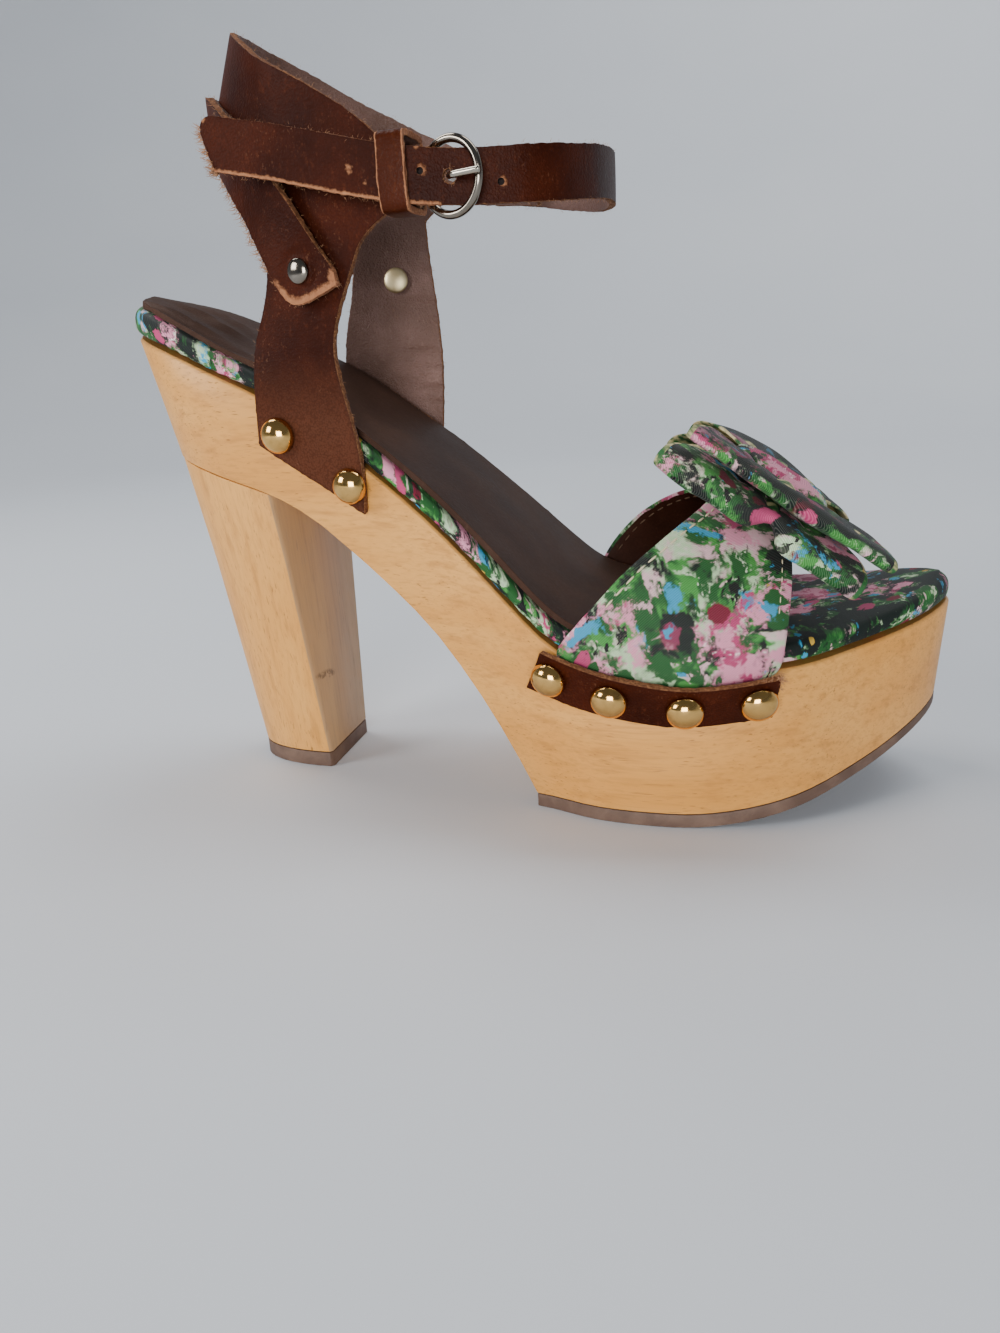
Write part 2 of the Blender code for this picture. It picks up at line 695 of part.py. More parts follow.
def insole_height(x):
    """Thickness of the padded insole: thinner under the sock than at the toes."""
    x = np.asarray(x, float)
    toe = np.clip((x - SOCK_END) / INSOLE_TOE_RUN, 0.0, 1.0)
    heel = np.clip((INSOLE_HEEL_START - x) / INSOLE_HEEL_RUN, 0.0, 1.0)
    return (INSOLE_REAR + (INSOLE_TOE - INSOLE_REAR) * toe * toe * (3 - 2 * toe)
            + INSOLE_HEEL_RISE * heel * heel * (3 - 2 * heel))


def pad_top(x):
    """Height of the insole's upper edge."""
    return float(wood_top(x) + insole_height(x))


def insole_line(distance):
    """Plan line of the insole: inside the wood's edge, but standing out at the heel."""
    line = inset(TOP_LINE, distance)
    behind = np.clip((OVERHANG_START - line[:, 0]) / OVERHANG_RUN, 0.0, 1.0)
    line[:, 0] -= INSOLE_OVERHANG * behind
    return line


def pad_crown(share):
    """Rise of the padding from its edges (share 0 and 1) to the middle."""
    return PAD_CROWN * 4 * share * (1 - share)


def build_insole():
    """Padded insole wrapped in fabric, and the leather sock on it."""
    rings = []
    for distance, level in INSOLE_EDGE:
        height = GAP + level * (insole_height(TOP_LINE[:, 0]) - GAP)
        rings.append(lift(insole_line(distance), wood_top(insole_line(0.0)[:, 0]) + height))
    add_loft("insole", "fabric", rings, columns=PAD_COLUMNS, crown=pad_crown)

    line = insole_line(SOCK_INSET)
    count = len(TOP_LINE)
    rows = [i for i in range(1, HALF) if TOP_LINE[i, 0] < SOCK_END]
    reach = SOCK_SLOPE_REACH
    points = []
    for i in rows:
        x = TOP_LINE[i, 0]
        slope = (pad_top(x + reach) - pad_top(x - reach)) / (2 * reach)
        base = pad_top(x) + (GAP + SOCK_THICK) * math.hypot(1.0, slope)
        for share in np.linspace(0.0, 1.0, PAD_COLUMNS + 1):
            x, y = line[i] * (1 - share) + line[count - i] * share
            points.append((x, y, base + pad_crown(share)))
    faces = outward(points, grid_faces(len(rows), PAD_COLUMNS + 1), SOCK_UNDER)
    add_sheet("sock", "sock", points, faces, SOCK_THICK)


def strip_z(x):
    return smooth_curve(STRIP["x"], STRIP["z"], x)


def vamp_point(x, angle, side):
    """Outer face of the vamp: an arch over the foot at x."""
    turn = math.radians(angle)
    base = float(strip_z(x)) + STRIP_HALF - VAMP_TUCK
    ridge = VAMP_TOP_Z + VAMP_SLOPE * (x - VAMP_TOP_X)
    half = abs(float(side_y(TOP_LINE, side, x))) + VAMP_THICK + GAP
    y = side * half * math.cos(turn) ** (2 / ARCH_POWER)
    z = base + (ridge - base) * math.sin(turn) ** (2 / ARCH_POWER)
    return (x, y, z)


def strip_point(x, up, side):
    """Outer face of the nailed strip; up runs from -1 at its lower edge to 1."""
    z = float(strip_z(x)) + up * STRIP_HALF
    shift = STRIP_SLANT * up * np.interp(x, STRIP["x"][[0, -1]], (1.0, STRIP_SLANT_FRONT))
    away = 2 * GAP + STRIP_FLARE * (1 + up) + STRIP_THICK
    y = float(wall_y(side, x, z))
    return np.array((x + shift, y + side * away, z))


def add_stud(name, place, normal):
    normal = np.asarray(normal, float)
    normal /= np.linalg.norm(normal)
    lifted = np.asarray(place, float) + normal * (GAP + STUD_LIFT)
    add_turned(name, "gold", dome_profile(STUD_RADIUS, STUD_HEIGHT), lifted, normal, CAP_SIDES)


def build_vamp():
    """Fabric vamp arched over the foot, nailed down by two leather strips."""
    angles = [(-1, a) for a in np.linspace(0.0, 90.0, ARCH_STEPS)]
    angles += [(1, a) for a in np.linspace(90.0, 0.0, ARCH_STEPS)[1:]]
    points = []
    for side, angle in angles:
        name = "rear_lat" if side < 0 else "rear_med"
        rear = float(smooth_curve(VAMP_EDGE["angle"], VAMP_EDGE[name], angle))
        front = float(smooth_curve(VAMP_EDGE["angle"], VAMP_EDGE["front"], angle))
        for share in np.linspace(0.0, 1.0, ARCH_COLUMNS):
            points.append(vamp_point(rear + (front - rear) * share, angle, side))
    faces = outward(points, grid_faces(len(angles), ARCH_COLUMNS), FOREFOOT)
    add_sheet("vamp", "fabric", points, faces, VAMP_THICK)

    for side, label in ((-1, "lateral"), (1, "medial")):
        spots = np.linspace(STRIP["x"][0], STRIP["x"][-1], STRIP_STEPS)
        points = []
        for x in spots:
            for up in (-1.0, 0.0, 1.0):
                points.append(strip_point(x, up, side))
        faces = outward(points, grid_faces(len(spots), 3), FOREFOOT)
        add_sheet("strip_" + label, "leather", points, faces, STRIP_THICK)
        for number, x in enumerate(STRIP_STUDS, 1):
            up = strip_point(x, 1.0, side) - strip_point(x, -1.0, side)
            ahead = strip_point(x + STUD_REACH, 0.0, side) - strip_point(x - STUD_REACH, 0.0, side)
            normal = np.cross(up, ahead)
            normal *= np.sign(normal[1]) * side
            add_stud("stud_vamp_%s_%d" % (label, number), strip_point(x, 0.0, side), normal)


def leg_point(side, x, z):
    """Outer face of a quarter: on the wood's wall below, on the ankle's line above."""
    low = abs(float(wall_y(side, x, min(z, float(wood_top(x)))))) + GAP + LEATHER_THICK
    rows = BAND["y"] * side >= 0.0
    order = np.argsort(BAND["x"][rows])
    high = np.interp(x, BAND["x"][rows][order], np.abs(BAND["y"][rows])[order])
    share = np.clip((z - LEG_TURN_Z) / LEG_TURN_RUN, 0.0, 1.0)
    share = share * share * (3 - 2 * share)
    return np.array((x, side * (low * (1 - share) + high * share), z))


def leg_frame(side, x, z):
    """Place and outward direction on the outer face of a quarter."""
    ahead = leg_point(side, x + LEG_REACH, z) - leg_point(side, x - LEG_REACH, z)
    up = leg_point(side, x, z + LEG_REACH) - leg_point(side, x, z - LEG_REACH)
    normal = np.cross(ahead, up)
    normal *= side * np.sign(normal[1])
    return leg_point(side, x, z), normal / np.linalg.norm(normal)


def band_grid():
    """Points of the ankle band, one row for each station, from the lower to the upper edge."""
    line = spline(np.stack([BAND[name] for name in ("x", "y", "z_low", "z_high")], 1), 2)
    back = np.clip((BAND_LEAN_START - line[:, 0]) / BAND_LEAN_RUN, 0.0, 1.0)
    points = []
    for row, lean in zip(line, back):
        for share in np.linspace(0.0, 1.0, BAND_LEVELS):
            z = row[2] + (row[3] - row[2]) * share
            points.append((row[0] + BAND_LEAN * lean * (z - row[2]), row[1], z))
    return points, len(line)


def build_collar():
    """The two quarters and the ankle band, cut as one leather wall."""
    points, stations = band_grid()
    faces = grid_faces(stations, BAND_LEVELS)
    for side, legs in ((-1, LEG_LATERAL), (1, LEG_MEDIAL)):
        first, last = (2 * row for row in LEG_COLUMNS[side])
        columns = list(range(first, last + 1))
        if side > 0:
            columns.reverse()
        top = [station * BAND_LEVELS for station in columns]
        spread = [points[index][0] for index in top]
        shares = [(x - spread[-1]) / (spread[0] - spread[-1]) for x in spread]
        fine = table(tuple(legs), *spline(np.stack(list(legs.values()), 1), 2))
        above = top
        for level in reversed(range(len(fine["x_rear"]))):
            row = []
            for share in shares:
                x = fine["x_rear"][level] * (1 - share) + fine["x_front"][level] * share
                z = fine["z_rear"][level] * (1 - share) + fine["z_front"][level] * share
                row.append(len(points))
                points.append(leg_point(side, x, z))
            for j in range(len(row) - 1):
                quad = (row[j], row[j + 1], above[j + 1], above[j])
                faces.append(quad if side < 0 else tuple(reversed(quad)))
            above = row
    faces = outward_each(points, faces)
    add_sheet("ankle_collar", "leather", points, faces, LEATHER_THICK)

    for side, label in ((-1, "lateral"), (1, "medial")):
        for number, (x, z) in enumerate(LEG_STUDS, 1):
            centre, normal = leg_frame(side, x, z)
            add_stud("stud_quarter_%s_%d" % (label, number), centre, normal)
        centre, normal = leg_frame(side, *RIVET)
        inner = centre - normal * (LEATHER_THICK + GAP)
        profile = dome_profile(RIVET_INNER_RADIUS, RIVET_HEIGHT)
        add_turned("rivet_%s_inner" % label, "gold", profile, inner, -normal, CAP_SIDES)
        strap = HEEL_STRAP["y"][1] + LEATHER_THICK / 2 + GAP + RIVET_LIFT
        outer = np.array((RIVET[0], side * strap, RIVET[1]))
        profile = dome_profile(RIVET_RADIUS, RIVET_HEIGHT)
        add_turned("rivet_%s_outer" % label, "nickel", profile, outer, normal, CAP_SIDES)


def level_normals(path, middle):
    """Level outward directions of a strap around an ankle whose middle is given in plan."""
    along = np.gradient(path, axis=0)
    normals = np.stack([along[:, 1], -along[:, 0], np.zeros(len(path))], 1)
    away = path[:, :2] - np.asarray(middle)
    flip = np.sign(np.sum(normals[:, :2] * away, axis=1))
    return normals * flip[:, None]


def build_straps():
    """Back strap riveted to both quarters, the buckled strap, its keeper, ring and prong."""
    side = np.stack([HEEL_STRAP[name] for name in ("x", "y", "z")], 1)
    outer = side * (1.0, -1.0, 1.0)
    whole = spline(np.concatenate([outer, side[-2::-1]]), 3)
    normals = level_normals(whole, HEEL_STRAP_MIDDLE)
    ends = np.minimum(np.arange(len(whole)), np.arange(len(whole))[::-1])
    widths = HEEL_STRAP_WIDTH * np.interp(ends, *HEEL_STRAP_END)
    skew = HEEL_STRAP_SKEW * np.interp(ends, (0, 3), (1.0, 0.0)) * -np.sign(whole[:, 1])
    add_ribbon("heel_strap", "leather", whole, normals, widths, LEATHER_THICK, skew)

    line = spline(np.stack([STRAP[name] for name in ("x", "y", "z", "skew")], 1), 3)
    path = line[:, :3]
    normals = level_normals(path, STRAP_MIDDLE)
    widths = np.full(len(path), STRAP_WIDTH)
    strap = add_ribbon("ankle_strap", "leather", path, normals, widths, STRAP_THICK, line[:, 3])
    bore = [(PRONG_HOLE_RADIUS, end) for end in (-PRONG_HOLE_REACH, PRONG_HOLE_REACH)]
    cutter = add_turned("prong_hole", "leather", bore, PRONG_HOLE, (0.0, -1.0, 0.0), PRONG_HOLE_SIDES)
    cut = strap.modifiers.new("hole", "BOOLEAN")
    cut.operation = "DIFFERENCE"
    cut.solver = "EXACT"
    cut.object = cutter
    cutter.hide_render = True
    cutter.display_type = "WIRE"

    turn = math.radians(RING_TURN)
    along = np.array((math.cos(turn), -math.sin(turn), 0.0))
    up = np.array((0.0, 0.0, 1.0))
    centre = np.array(PRONG_HOLE)
    angles = np.linspace(0.0, 2 * math.pi, RING_STEPS, endpoint=False)
    ring = [centre + RING_RADIUS * (along * math.cos(a) + up * math.sin(a)) for a in angles]
    add_tube("buckle_ring", "nickel", ring, RING_WIRE, RING_SIDES, closed=True)
    prong = [centre + bend for bend in np.array(PRONG_BENDS)]
    prong.append(centre + along * (RING_RADIUS + RING_WIRE) + np.array(PRONG_REST))
    add_tube("buckle_prong", "nickel", spline(prong, 3), PRONG_RADIUS, PRONG_SIDES)

    loop = []
    for y, z, turn in ((KEEPER_OUT, KEEPER_LOW, 180), (KEEPER_IN, KEEPER_LOW, 270),
                       (KEEPER_IN, KEEPER_HIGH, 0), (KEEPER_OUT, KEEPER_HIGH, 90)):
        cy = y + KEEPER_CORNER * (1 if y == KEEPER_OUT else -1)
        cz = z + KEEPER_CORNER * (1 if z == KEEPER_LOW else -1)
        for step in (0, 45, 90):
            a = math.radians(turn + step)
            loop.append((KEEPER_X, cy + KEEPER_CORNER * math.cos(a), cz + KEEPER_CORNER * math.sin(a)))
    loop = np.array(loop)
    add_ribbon("keeper", "leather", loop, loop - loop.mean(0), np.full(len(loop), KEEPER_WIDTH),
               KEEPER_THICK, closed=True)


def bow_point(reach, across, lift_by):
    """From the bow's own frame (to the side, along the shoe, up) to the shoe."""
    lean = math.radians(BOW_SLOPE)
    tip = math.radians(BOW_ROLL)
    cx, cy, cz = BOW_CENTRE
    lift_by = lift_by - reach * math.tan(tip)
    x = cx + across * math.cos(lean) + lift_by * math.sin(lean)
    z = cz - across * math.sin(lean) + lift_by * math.cos(lean)
    return (x, cy + reach, z)


def loop_outward(points, faces):
    """Turn the faces of a ribbon ring out: the first one is on the lower layer and looks down."""
    corners = np.asarray(points, float)[list(faces[0])]
    normal = np.cross(corners[2] - corners[0], corners[3] - corners[1])
    return faces if normal[2] < 0.0 else [tuple(reversed(face)) for face in faces]


def build_bow():
    """Two stacked ribbon rings pinched by a knot, so that each side has two open loops."""
    for name, (middle, end, forward) in BOW_LAYERS.items():
        even = np.linspace(BOW_PINCH, BOW_RUN_END, BOW_RUN_STEPS)
        shares = np.concatenate([[0.0], even, BOW_FOLD_SHARES])
        run = [(1.0, s, -1.0) for s in shares] + [(1.0, s, 1.0) for s in shares[-2::-1]]
        run += [(-1.0, s, 1.0) for s in shares[1:]] + [(-1.0, s, -1.0) for s in shares[-2:0:-1]]
        points = []
        for side, share, layer in run:
            half = float(smooth_curve(BOW_LOOP["share"], BOW_LOOP["half"], share))
            opening = float(smooth_curve(BOW_LOOP["share"], BOW_LOOP["open"], share))
            if share == 1.0:
                opening = 0.0
            for v in np.linspace(-1.0, 1.0, BOW_COLUMNS):
                past = max(share - BOW_PINCH, 0.0) / (1 - BOW_PINCH)
                fold = BOW_PLEAT * (1 - abs(v)) * past * (1 - past) * 4 + BOW_DROOP * past * past
                height = middle * (1 - past) + end * past + layer * opening - fold
                points.append(bow_point(side * BOW_REACH * share, v * half + forward * share, height))
        faces = loop_outward(points, grid_faces(len(run), BOW_COLUMNS, wrap=True))
        add_sheet(name, "fabric", points, faces, RIBBON_THICK)

    turns = np.linspace(0.0, 2 * math.pi, KNOT_STEPS, endpoint=False)
    path = []
    for turn in turns:
        c, s = math.cos(turn), math.sin(turn)
        across = KNOT_HALF_DEPTH * math.copysign(abs(c) ** KNOT_POWER, c)
        up = KNOT_HALF_HEIGHT * math.copysign(abs(s) ** KNOT_POWER, s)
        path.append(bow_point(0.0, across, up))
    path = np.array(path)
    normals = path - path.mean(0)
    add_ribbon("bow_knot", "fabric", path, normals, np.full(len(path), 2 * KNOT_HALF_WIDTH),
               KNOT_THICK, closed=True)


def centre_on_floor():
    """Move every piece so that the origin is the bottom centre of the shoe."""
    shown = [item for item in bpy.data.objects if item.type == "MESH" and not item.hide_render]
    corners = np.concatenate([[tuple(v.co) for v in item.data.vertices] for item in shown])
    low, high = corners.min(0), corners.max(0)
    shift = np.array(((low[0] + high[0]) / 2, (low[1] + high[1]) / 2, low[2]))
    for item in bpy.data.objects:
        if item.type == "MESH":
            item.location = tuple(-shift)
    print("origin shift in mm", np.round(shift / MM, 3).tolist())
    print("size in mm", np.round((high - low) / MM, 1).tolist())


for old in list(bpy.data.objects):
    bpy.data.objects.remove(old, do_unlink=True)
build_sole()
build_insole()
build_vamp()
build_collar()
build_straps()
build_bow()
centre_on_floor()
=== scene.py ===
# %% [markdown]
# # Dressing a platform sandal
# The solids of this shoe already stand in the scene at their real size: a carved wood sole and
# heel, leather straps, a fabric vamp, studs, a buckle and a ribbon bow. They are plain and coarse.
# Each step below takes one of them, makes the fine surface that the real piece has, and paints it
# with materials made only of nodes. The solids stay where they are and are never changed.

# %% Load the solids
import math
import random

import bmesh
import bpy
import numpy as np
from mathutils import Matrix, Vector, bvhtree, kdtree, noise


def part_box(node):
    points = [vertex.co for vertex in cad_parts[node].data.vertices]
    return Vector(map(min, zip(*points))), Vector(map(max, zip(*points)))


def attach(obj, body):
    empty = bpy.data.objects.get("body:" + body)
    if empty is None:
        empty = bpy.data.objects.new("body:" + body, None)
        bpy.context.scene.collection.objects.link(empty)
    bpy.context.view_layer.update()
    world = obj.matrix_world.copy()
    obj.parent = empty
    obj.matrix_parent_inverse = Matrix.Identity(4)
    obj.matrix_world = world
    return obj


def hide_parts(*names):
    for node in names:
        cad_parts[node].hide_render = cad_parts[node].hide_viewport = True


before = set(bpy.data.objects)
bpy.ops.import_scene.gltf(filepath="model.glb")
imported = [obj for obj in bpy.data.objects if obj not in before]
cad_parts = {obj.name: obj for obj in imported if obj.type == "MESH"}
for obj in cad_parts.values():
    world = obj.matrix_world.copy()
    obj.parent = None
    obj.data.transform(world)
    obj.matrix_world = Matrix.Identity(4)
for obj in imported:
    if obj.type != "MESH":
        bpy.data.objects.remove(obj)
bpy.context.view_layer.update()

MM = 0.001
scene = bpy.context.scene

# %% [markdown]
# ## Camera, floor and light
# The camera stands a hand's breadth above the foot bed on the outer side of the shoe, close by, so
# the picture has strong perspective. Its place and its axes were worked out from pieces that the
# shoe has on both sides.

# %% Camera
CAMERA_PLACE = Vector((60.95, -257.47, 123.6)) * MM
CAMERA_RIGHT = Vector((0.9663, 0.2512, -0.0556))
CAMERA_BACK = Vector((0.2553, -0.9091, 0.3293))
LENS = 25.66          # focal length and sensor width in millimetres
SENSOR = 36.0
NEAR_CLIP = 0.01


def make_camera():
    data = bpy.data.cameras.new("camera")
    data.lens = LENS
    data.sensor_width = SENSOR
    data.clip_start = NEAR_CLIP
    up = CAMERA_BACK.cross(CAMERA_RIGHT).normalized()
    right = up.cross(CAMERA_BACK).normalized()
    turn = Matrix((right, up, CAMERA_BACK.normalized())).transposed()
    camera = bpy.data.objects.new("camera", data)
    camera.matrix_world = Matrix.Translation(CAMERA_PLACE) @ turn.to_4x4()
    scene.collection.objects.link(camera)
    scene.camera = camera


make_camera()
print("camera height in mm:", round(CAMERA_PLACE.z / MM, 1))

# %% [markdown]
# The floor is a wide disc of rings and spokes. It is flat round the shoe and rises softly behind it,
# so floor and backdrop are one sweep without a horizon line.

# %% Floor and backdrop
FLOOR_DROP = 0.05 * MM      # keeps the floor just clear of the soles
FLOOR_RADIUS = 0.9
STAGE_RADIUS = 3.4
STAGE_RINGS = 40
STAGE_SPOKES = 72
BACK_BEND = 0.55
BACK_FADE = 0.7             # how soon the backdrop runs out towards the sides


def stage_height(radius, turn):
    """Flat round the shoe and in front of it, rising softly behind it."""
    behind = 0.5 + 0.5 * math.sin(turn)
    return BACK_BEND * max(radius - FLOOR_RADIUS, 0.0) ** 2 * behind ** BACK_FADE - FLOOR_DROP


def make_stage():
    points = [(0.0, 0.0, -FLOOR_DROP)]
    for ring in range(1, STAGE_RINGS + 1):
        radius = STAGE_RADIUS * ring / STAGE_RINGS
        for spoke in range(STAGE_SPOKES):
            turn = 2 * math.pi * spoke / STAGE_SPOKES
            points.append((radius * math.cos(turn), radius * math.sin(turn), stage_height(radius, turn)))
    faces = []
    for spoke in range(STAGE_SPOKES):
        after = (spoke + 1) % STAGE_SPOKES
        faces.append((0, 1 + spoke, 1 + after))
        for ring in range(STAGE_RINGS - 1):
            low = 1 + ring * STAGE_SPOKES
            high = low + STAGE_SPOKES
            faces.append((low + spoke, high + spoke, high + after, low + after))
    mesh = bpy.data.meshes.new("stage")
    mesh.from_pydata(points, [], faces)
    mesh.shade_smooth()
    stage = bpy.data.objects.new("stage", mesh)
    scene.collection.objects.link(stage)
    return stage


stage = make_stage()
print("stage faces:", len(stage.data.polygons))

# %% [markdown]
# Daylight indoors is wide and soft. Area lights stand for it: one from the heel's side, one above, a
# broad one in front that opens the shadows, and one for the backdrop. A pale sky fills the rest.

# %% Lights
LIGHTS = (
    # name, place, aim and size in metres, power in watts
    ("key", (-0.95, -0.70, 0.55), (0.0, 0.0, 0.08), 0.45, 8.4),
    ("overhead", (-0.50, 0.20, 0.85), (0.0, 0.0, 0.05), 0.40, 3.6),
    ("front", (0.12, -1.25, 0.20), (0.0, 0.0, 0.08), 0.62, 19.0),
    ("backdrop", (0.7, 0.9, 2.3), (0.6, 2.2, 0.3), 1.6, 41.0),
)
SKY = (0.80, 0.86, 0.95, 1.0)
SKY_STRENGTH = 0.18


def make_lights():
    for name, place, aim, size, power in LIGHTS:
        data = bpy.data.lights.new(name, "AREA")
        data.size = size
        data.energy = power
        light = bpy.data.objects.new(name, data)
        light.location = place
        light.rotation_euler = (Vector(aim) - Vector(place)).to_track_quat("-Z", "Y").to_euler()
        scene.collection.objects.link(light)
    world = bpy.data.worlds.new("world")
    world.use_nodes = True
    ground = world.node_tree.nodes["Background"]
    ground.inputs["Color"].default_value = SKY
    ground.inputs["Strength"].default_value = SKY_STRENGTH
    scene.world = world


make_lights()
print("lights:", len(LIGHTS))

# %% [markdown]
# ## A small language for nodes
# Materials and node trees are easier to read as sums than as long lists of links. `Value` wraps
# one socket and adds a Math node for each plus, minus or times. `Nodes.node` makes any other node
# from its type, its settings and its inputs.

# %% Values in sums
class Value:
    """One output socket that can be used in sums."""

    def __init__(self, nodes, socket):
        self.nodes = nodes
        self.socket = socket

    def sum(self, operation, first, second):
        return self.nodes.node("ShaderNodeMath", {"operation": operation}, Value=first, Value_001=second)

    def __add__(self, other):
        return self.sum("ADD", self, other)

    def __radd__(self, other):
        return self.sum("ADD", other, self)

    def __sub__(self, other):
        return self.sum("SUBTRACT", self, other)

    def __rsub__(self, other):
        return self.sum("SUBTRACT", other, self)

    def __mul__(self, other):
        return self.sum("MULTIPLY", self, other)

    def __rmul__(self, other):
        return self.sum("MULTIPLY", other, self)


print("a value can be added, subtracted and multiplied")

# %% Node trees
class Nodes:
    """A node tree under construction."""

    def put(self, socket, value):
        if isinstance(value, Value):
            self.tree.links.new(value.socket, socket)
        else:
            socket.default_value = value

    def node(self, kind, settings=None, output=0, **values):
        made = self.tree.nodes.new(kind)
        for name, value in (settings or {}).items():
            setattr(made, name, value)
        for name, value in values.items():
            plain = name.replace("_", " ")
            found = [s for s in made.inputs if name == s.identifier or plain == s.name]
            self.put(found[0], value)
        return Value(self, made.outputs[output])


print("any other node comes from Nodes.node")

# %% [markdown]
# `Paint` is a material. Its helpers are what the finishes share: the place on the piece, noise, cells,
# soft thresholds, mixed colours, ragged outlines and relief. A scale counts waves per metre, so 75
# gives bands about 13 mm wide.

# %% Materials
class Paint(Nodes):
    """A material under construction."""

    def __init__(self, name):
        self.material = bpy.data.materials.new(name)
        self.material.use_nodes = True
        self.tree = self.material.node_tree
        self.shader = self.tree.nodes["Principled BSDF"]

    def place(self, scale=(1.0, 1.0, 1.0), turn=(0.0, 0.0, 0.0), shift=(0.0, 0.0, 0.0)):
        """Object coordinates, turned and stretched."""
        spot = self.node("ShaderNodeTexCoord", output=3)
        return self.node("ShaderNodeMapping", Vector=spot, Location=shift, Rotation=turn, Scale=scale)

    def attribute(self, name, output):
        return self.node("ShaderNodeAttribute", {"attribute_name": name}, output)

    def noise(self, spot, scale, detail=3.0, rough=0.55, output=0):
        return self.node("ShaderNodeTexNoise", None, output, Vector=spot, Scale=scale, Detail=detail,
                         Roughness=rough)

    def cells(self, spot, scale, feature="F1", output=0, spread=1.0):
        return self.node("ShaderNodeTexVoronoi", {"feature": feature}, output, Vector=spot, Scale=scale,
                         Randomness=spread)

    def ramp(self, value, low, high):
        """0 below low, 1 above high, smooth between them."""
        return self.node("ShaderNodeMapRange", {"interpolation_type": "SMOOTHSTEP"}, Value=value,
                         From_Min=low, From_Max=high)

    def mix(self, factor, first, second):
        return self.node("ShaderNodeMix", {"data_type": "RGBA"}, 2, Factor_Float=factor, A_Color=first,
                         B_Color=second)

    def warp(self, spot, scale, reach):
        """The place moved about by a noise, for ragged outlines."""
        drift = self.noise(spot, scale, 2.0, 0.5, 1)
        centred = self.node("ShaderNodeVectorMath", {"operation": "SUBTRACT"}, Vector=drift,
                            Vector_001=(0.5, 0.5, 0.5))
        moved = self.node("ShaderNodeVectorMath", {"operation": "SCALE"}, Vector=centred, Scale=reach)
        return self.node("ShaderNodeVectorMath", {"operation": "ADD"}, Vector=spot, Vector_001=moved)

    def bump(self, height, depth):
        """Surface relief; depth is in millimetres for a height of 1."""
        return self.node("ShaderNodeBump", Height=height, Distance=depth * MM, Strength=1.0)

    def finish(self, **values):
        for name, value in values.items():
            self.put(self.shader.inputs[name.replace("_", " ")], value)
        return self.material


def tone(code):
    """A linear colour from a plain six-digit colour code."""
    parts = [int(code[i:i + 2], 16) / 255 for i in (0, 2, 4)]
    linear = [c / 12.92 if c <= 0.04045 else ((c + 0.055) / 1.055) ** 2.4 for c in parts]
    return (*linear, 1.0)


print("a linear colour:", [round(c, 3) for c in tone("DDA052")])

# %% [markdown]
# ## Finishes
# Wood: pale, close grained, with faint bands and many short dark pores that run with the grain,
# under a satin lacquer. The sole is cut with its grain along the foot, the heel with its grain
# upright, so one function makes both and only the stretch of the coordinates differs. The attribute
# "shade" marks painted shade along the insole and on the front of the heel, and a small scuff
# crosses the front of the heel.

# %% Wood
WOOD_LIGHT = tone("DDA052")
WOOD_MID = tone("D09042")
WOOD_DEEP = tone("AE7435")
WOOD_PORE = tone("7C4A1E")
# colours of painted shade: brown along the insole, which the scuff also uses, and grey on the front of
# the heel
WOOD_SHADE_AND_SCUFF = tone("4A3322")
WOOD_SHADE_GREY = tone("8A9086")
SCUFF_PLACE = (-8.5, 27.5)     # a dark scuff low on the front of the heel: side and height in mm
SCUFF_SIZE = (8.0, 1.7)
SCUFF_SLOPE = 0.19
SCUFF_DARK = 0.65
HEEL_FRONT = (-68.0, -66.0)    # the scuff fades in between these places along the shoe


def heel_scuff(paint, spot):
    """1 in a ragged oval on the front of the heel, 0 elsewhere."""
    x, y, z = (paint.node("ShaderNodeSeparateXYZ", None, i, Vector=spot) for i in range(3))
    side = (y - SCUFF_PLACE[0] * MM) * (1.0 / (SCUFF_SIZE[0] * MM))
    level = (z + y * SCUFF_SLOPE - SCUFF_PLACE[1] * MM) * (1.0 / (SCUFF_SIZE[1] * MM))
    oval = 1.0 - paint.ramp(side * side + level * level, 0.2, 1.0)
    ragged = paint.ramp(paint.noise(spot, 650.0, 3.0, 0.6), 0.42, 0.62)
    return oval * ragged * paint.ramp(x, *(place * MM for place in HEEL_FRONT))


def paint_wood(name, stretch, turn, shade, scuff=0.0):
    """Lacquered wood: stretch and turn of its grain, colour of shaded places, strength of the scuff."""
    paint = Paint(name)
    grain = paint.place(stretch, turn)
    plain = paint.place()
    wavy = paint.warp(grain, 25.0, 0.006)
    bands = paint.noise(wavy, 75.0, 3.0, 0.5)
    streaks = paint.noise(wavy, 420.0, 3.0, 0.6)
    lines = paint.noise(grain, 1300.0, 2.0, 0.6)
    pores = paint.ramp(paint.noise(grain, 2300.0, 1.0, 0.4), 0.66, 0.74)
    thin = paint.ramp(paint.noise(plain, 60.0, 2.0), 0.35, 0.62)
    colour = paint.mix(paint.ramp(bands, 0.32, 0.70), WOOD_LIGHT, WOOD_MID)
    colour = paint.mix(paint.ramp(streaks, 0.48, 0.78) * 0.62, colour, WOOD_DEEP)
    colour = paint.mix(paint.ramp(lines, 0.45, 0.75) * 0.40, colour, WOOD_DEEP)
    colour = paint.mix(pores * (0.15 + 0.40 * thin), colour, WOOD_PORE)
    # painted shade along the insole and on the front of the heel
    colour = paint.mix(paint.attribute("shade", 2), colour, shade)
    if scuff:
        colour = paint.mix(heel_scuff(paint, plain) * scuff, colour, WOOD_SHADE_AND_SCUFF)
    rough = 0.36 + 0.14 * streaks + 0.10 * pores
    relief = paint.bump(streaks * 0.35 + lines * 0.25 - pores * 1.0, 0.05)
    return paint.finish(Base_Color=colour, Roughness=rough, Normal=relief, Coat_Weight=0.06,
                        Coat_Roughness=0.32, Specular_IOR_Level=0.35)


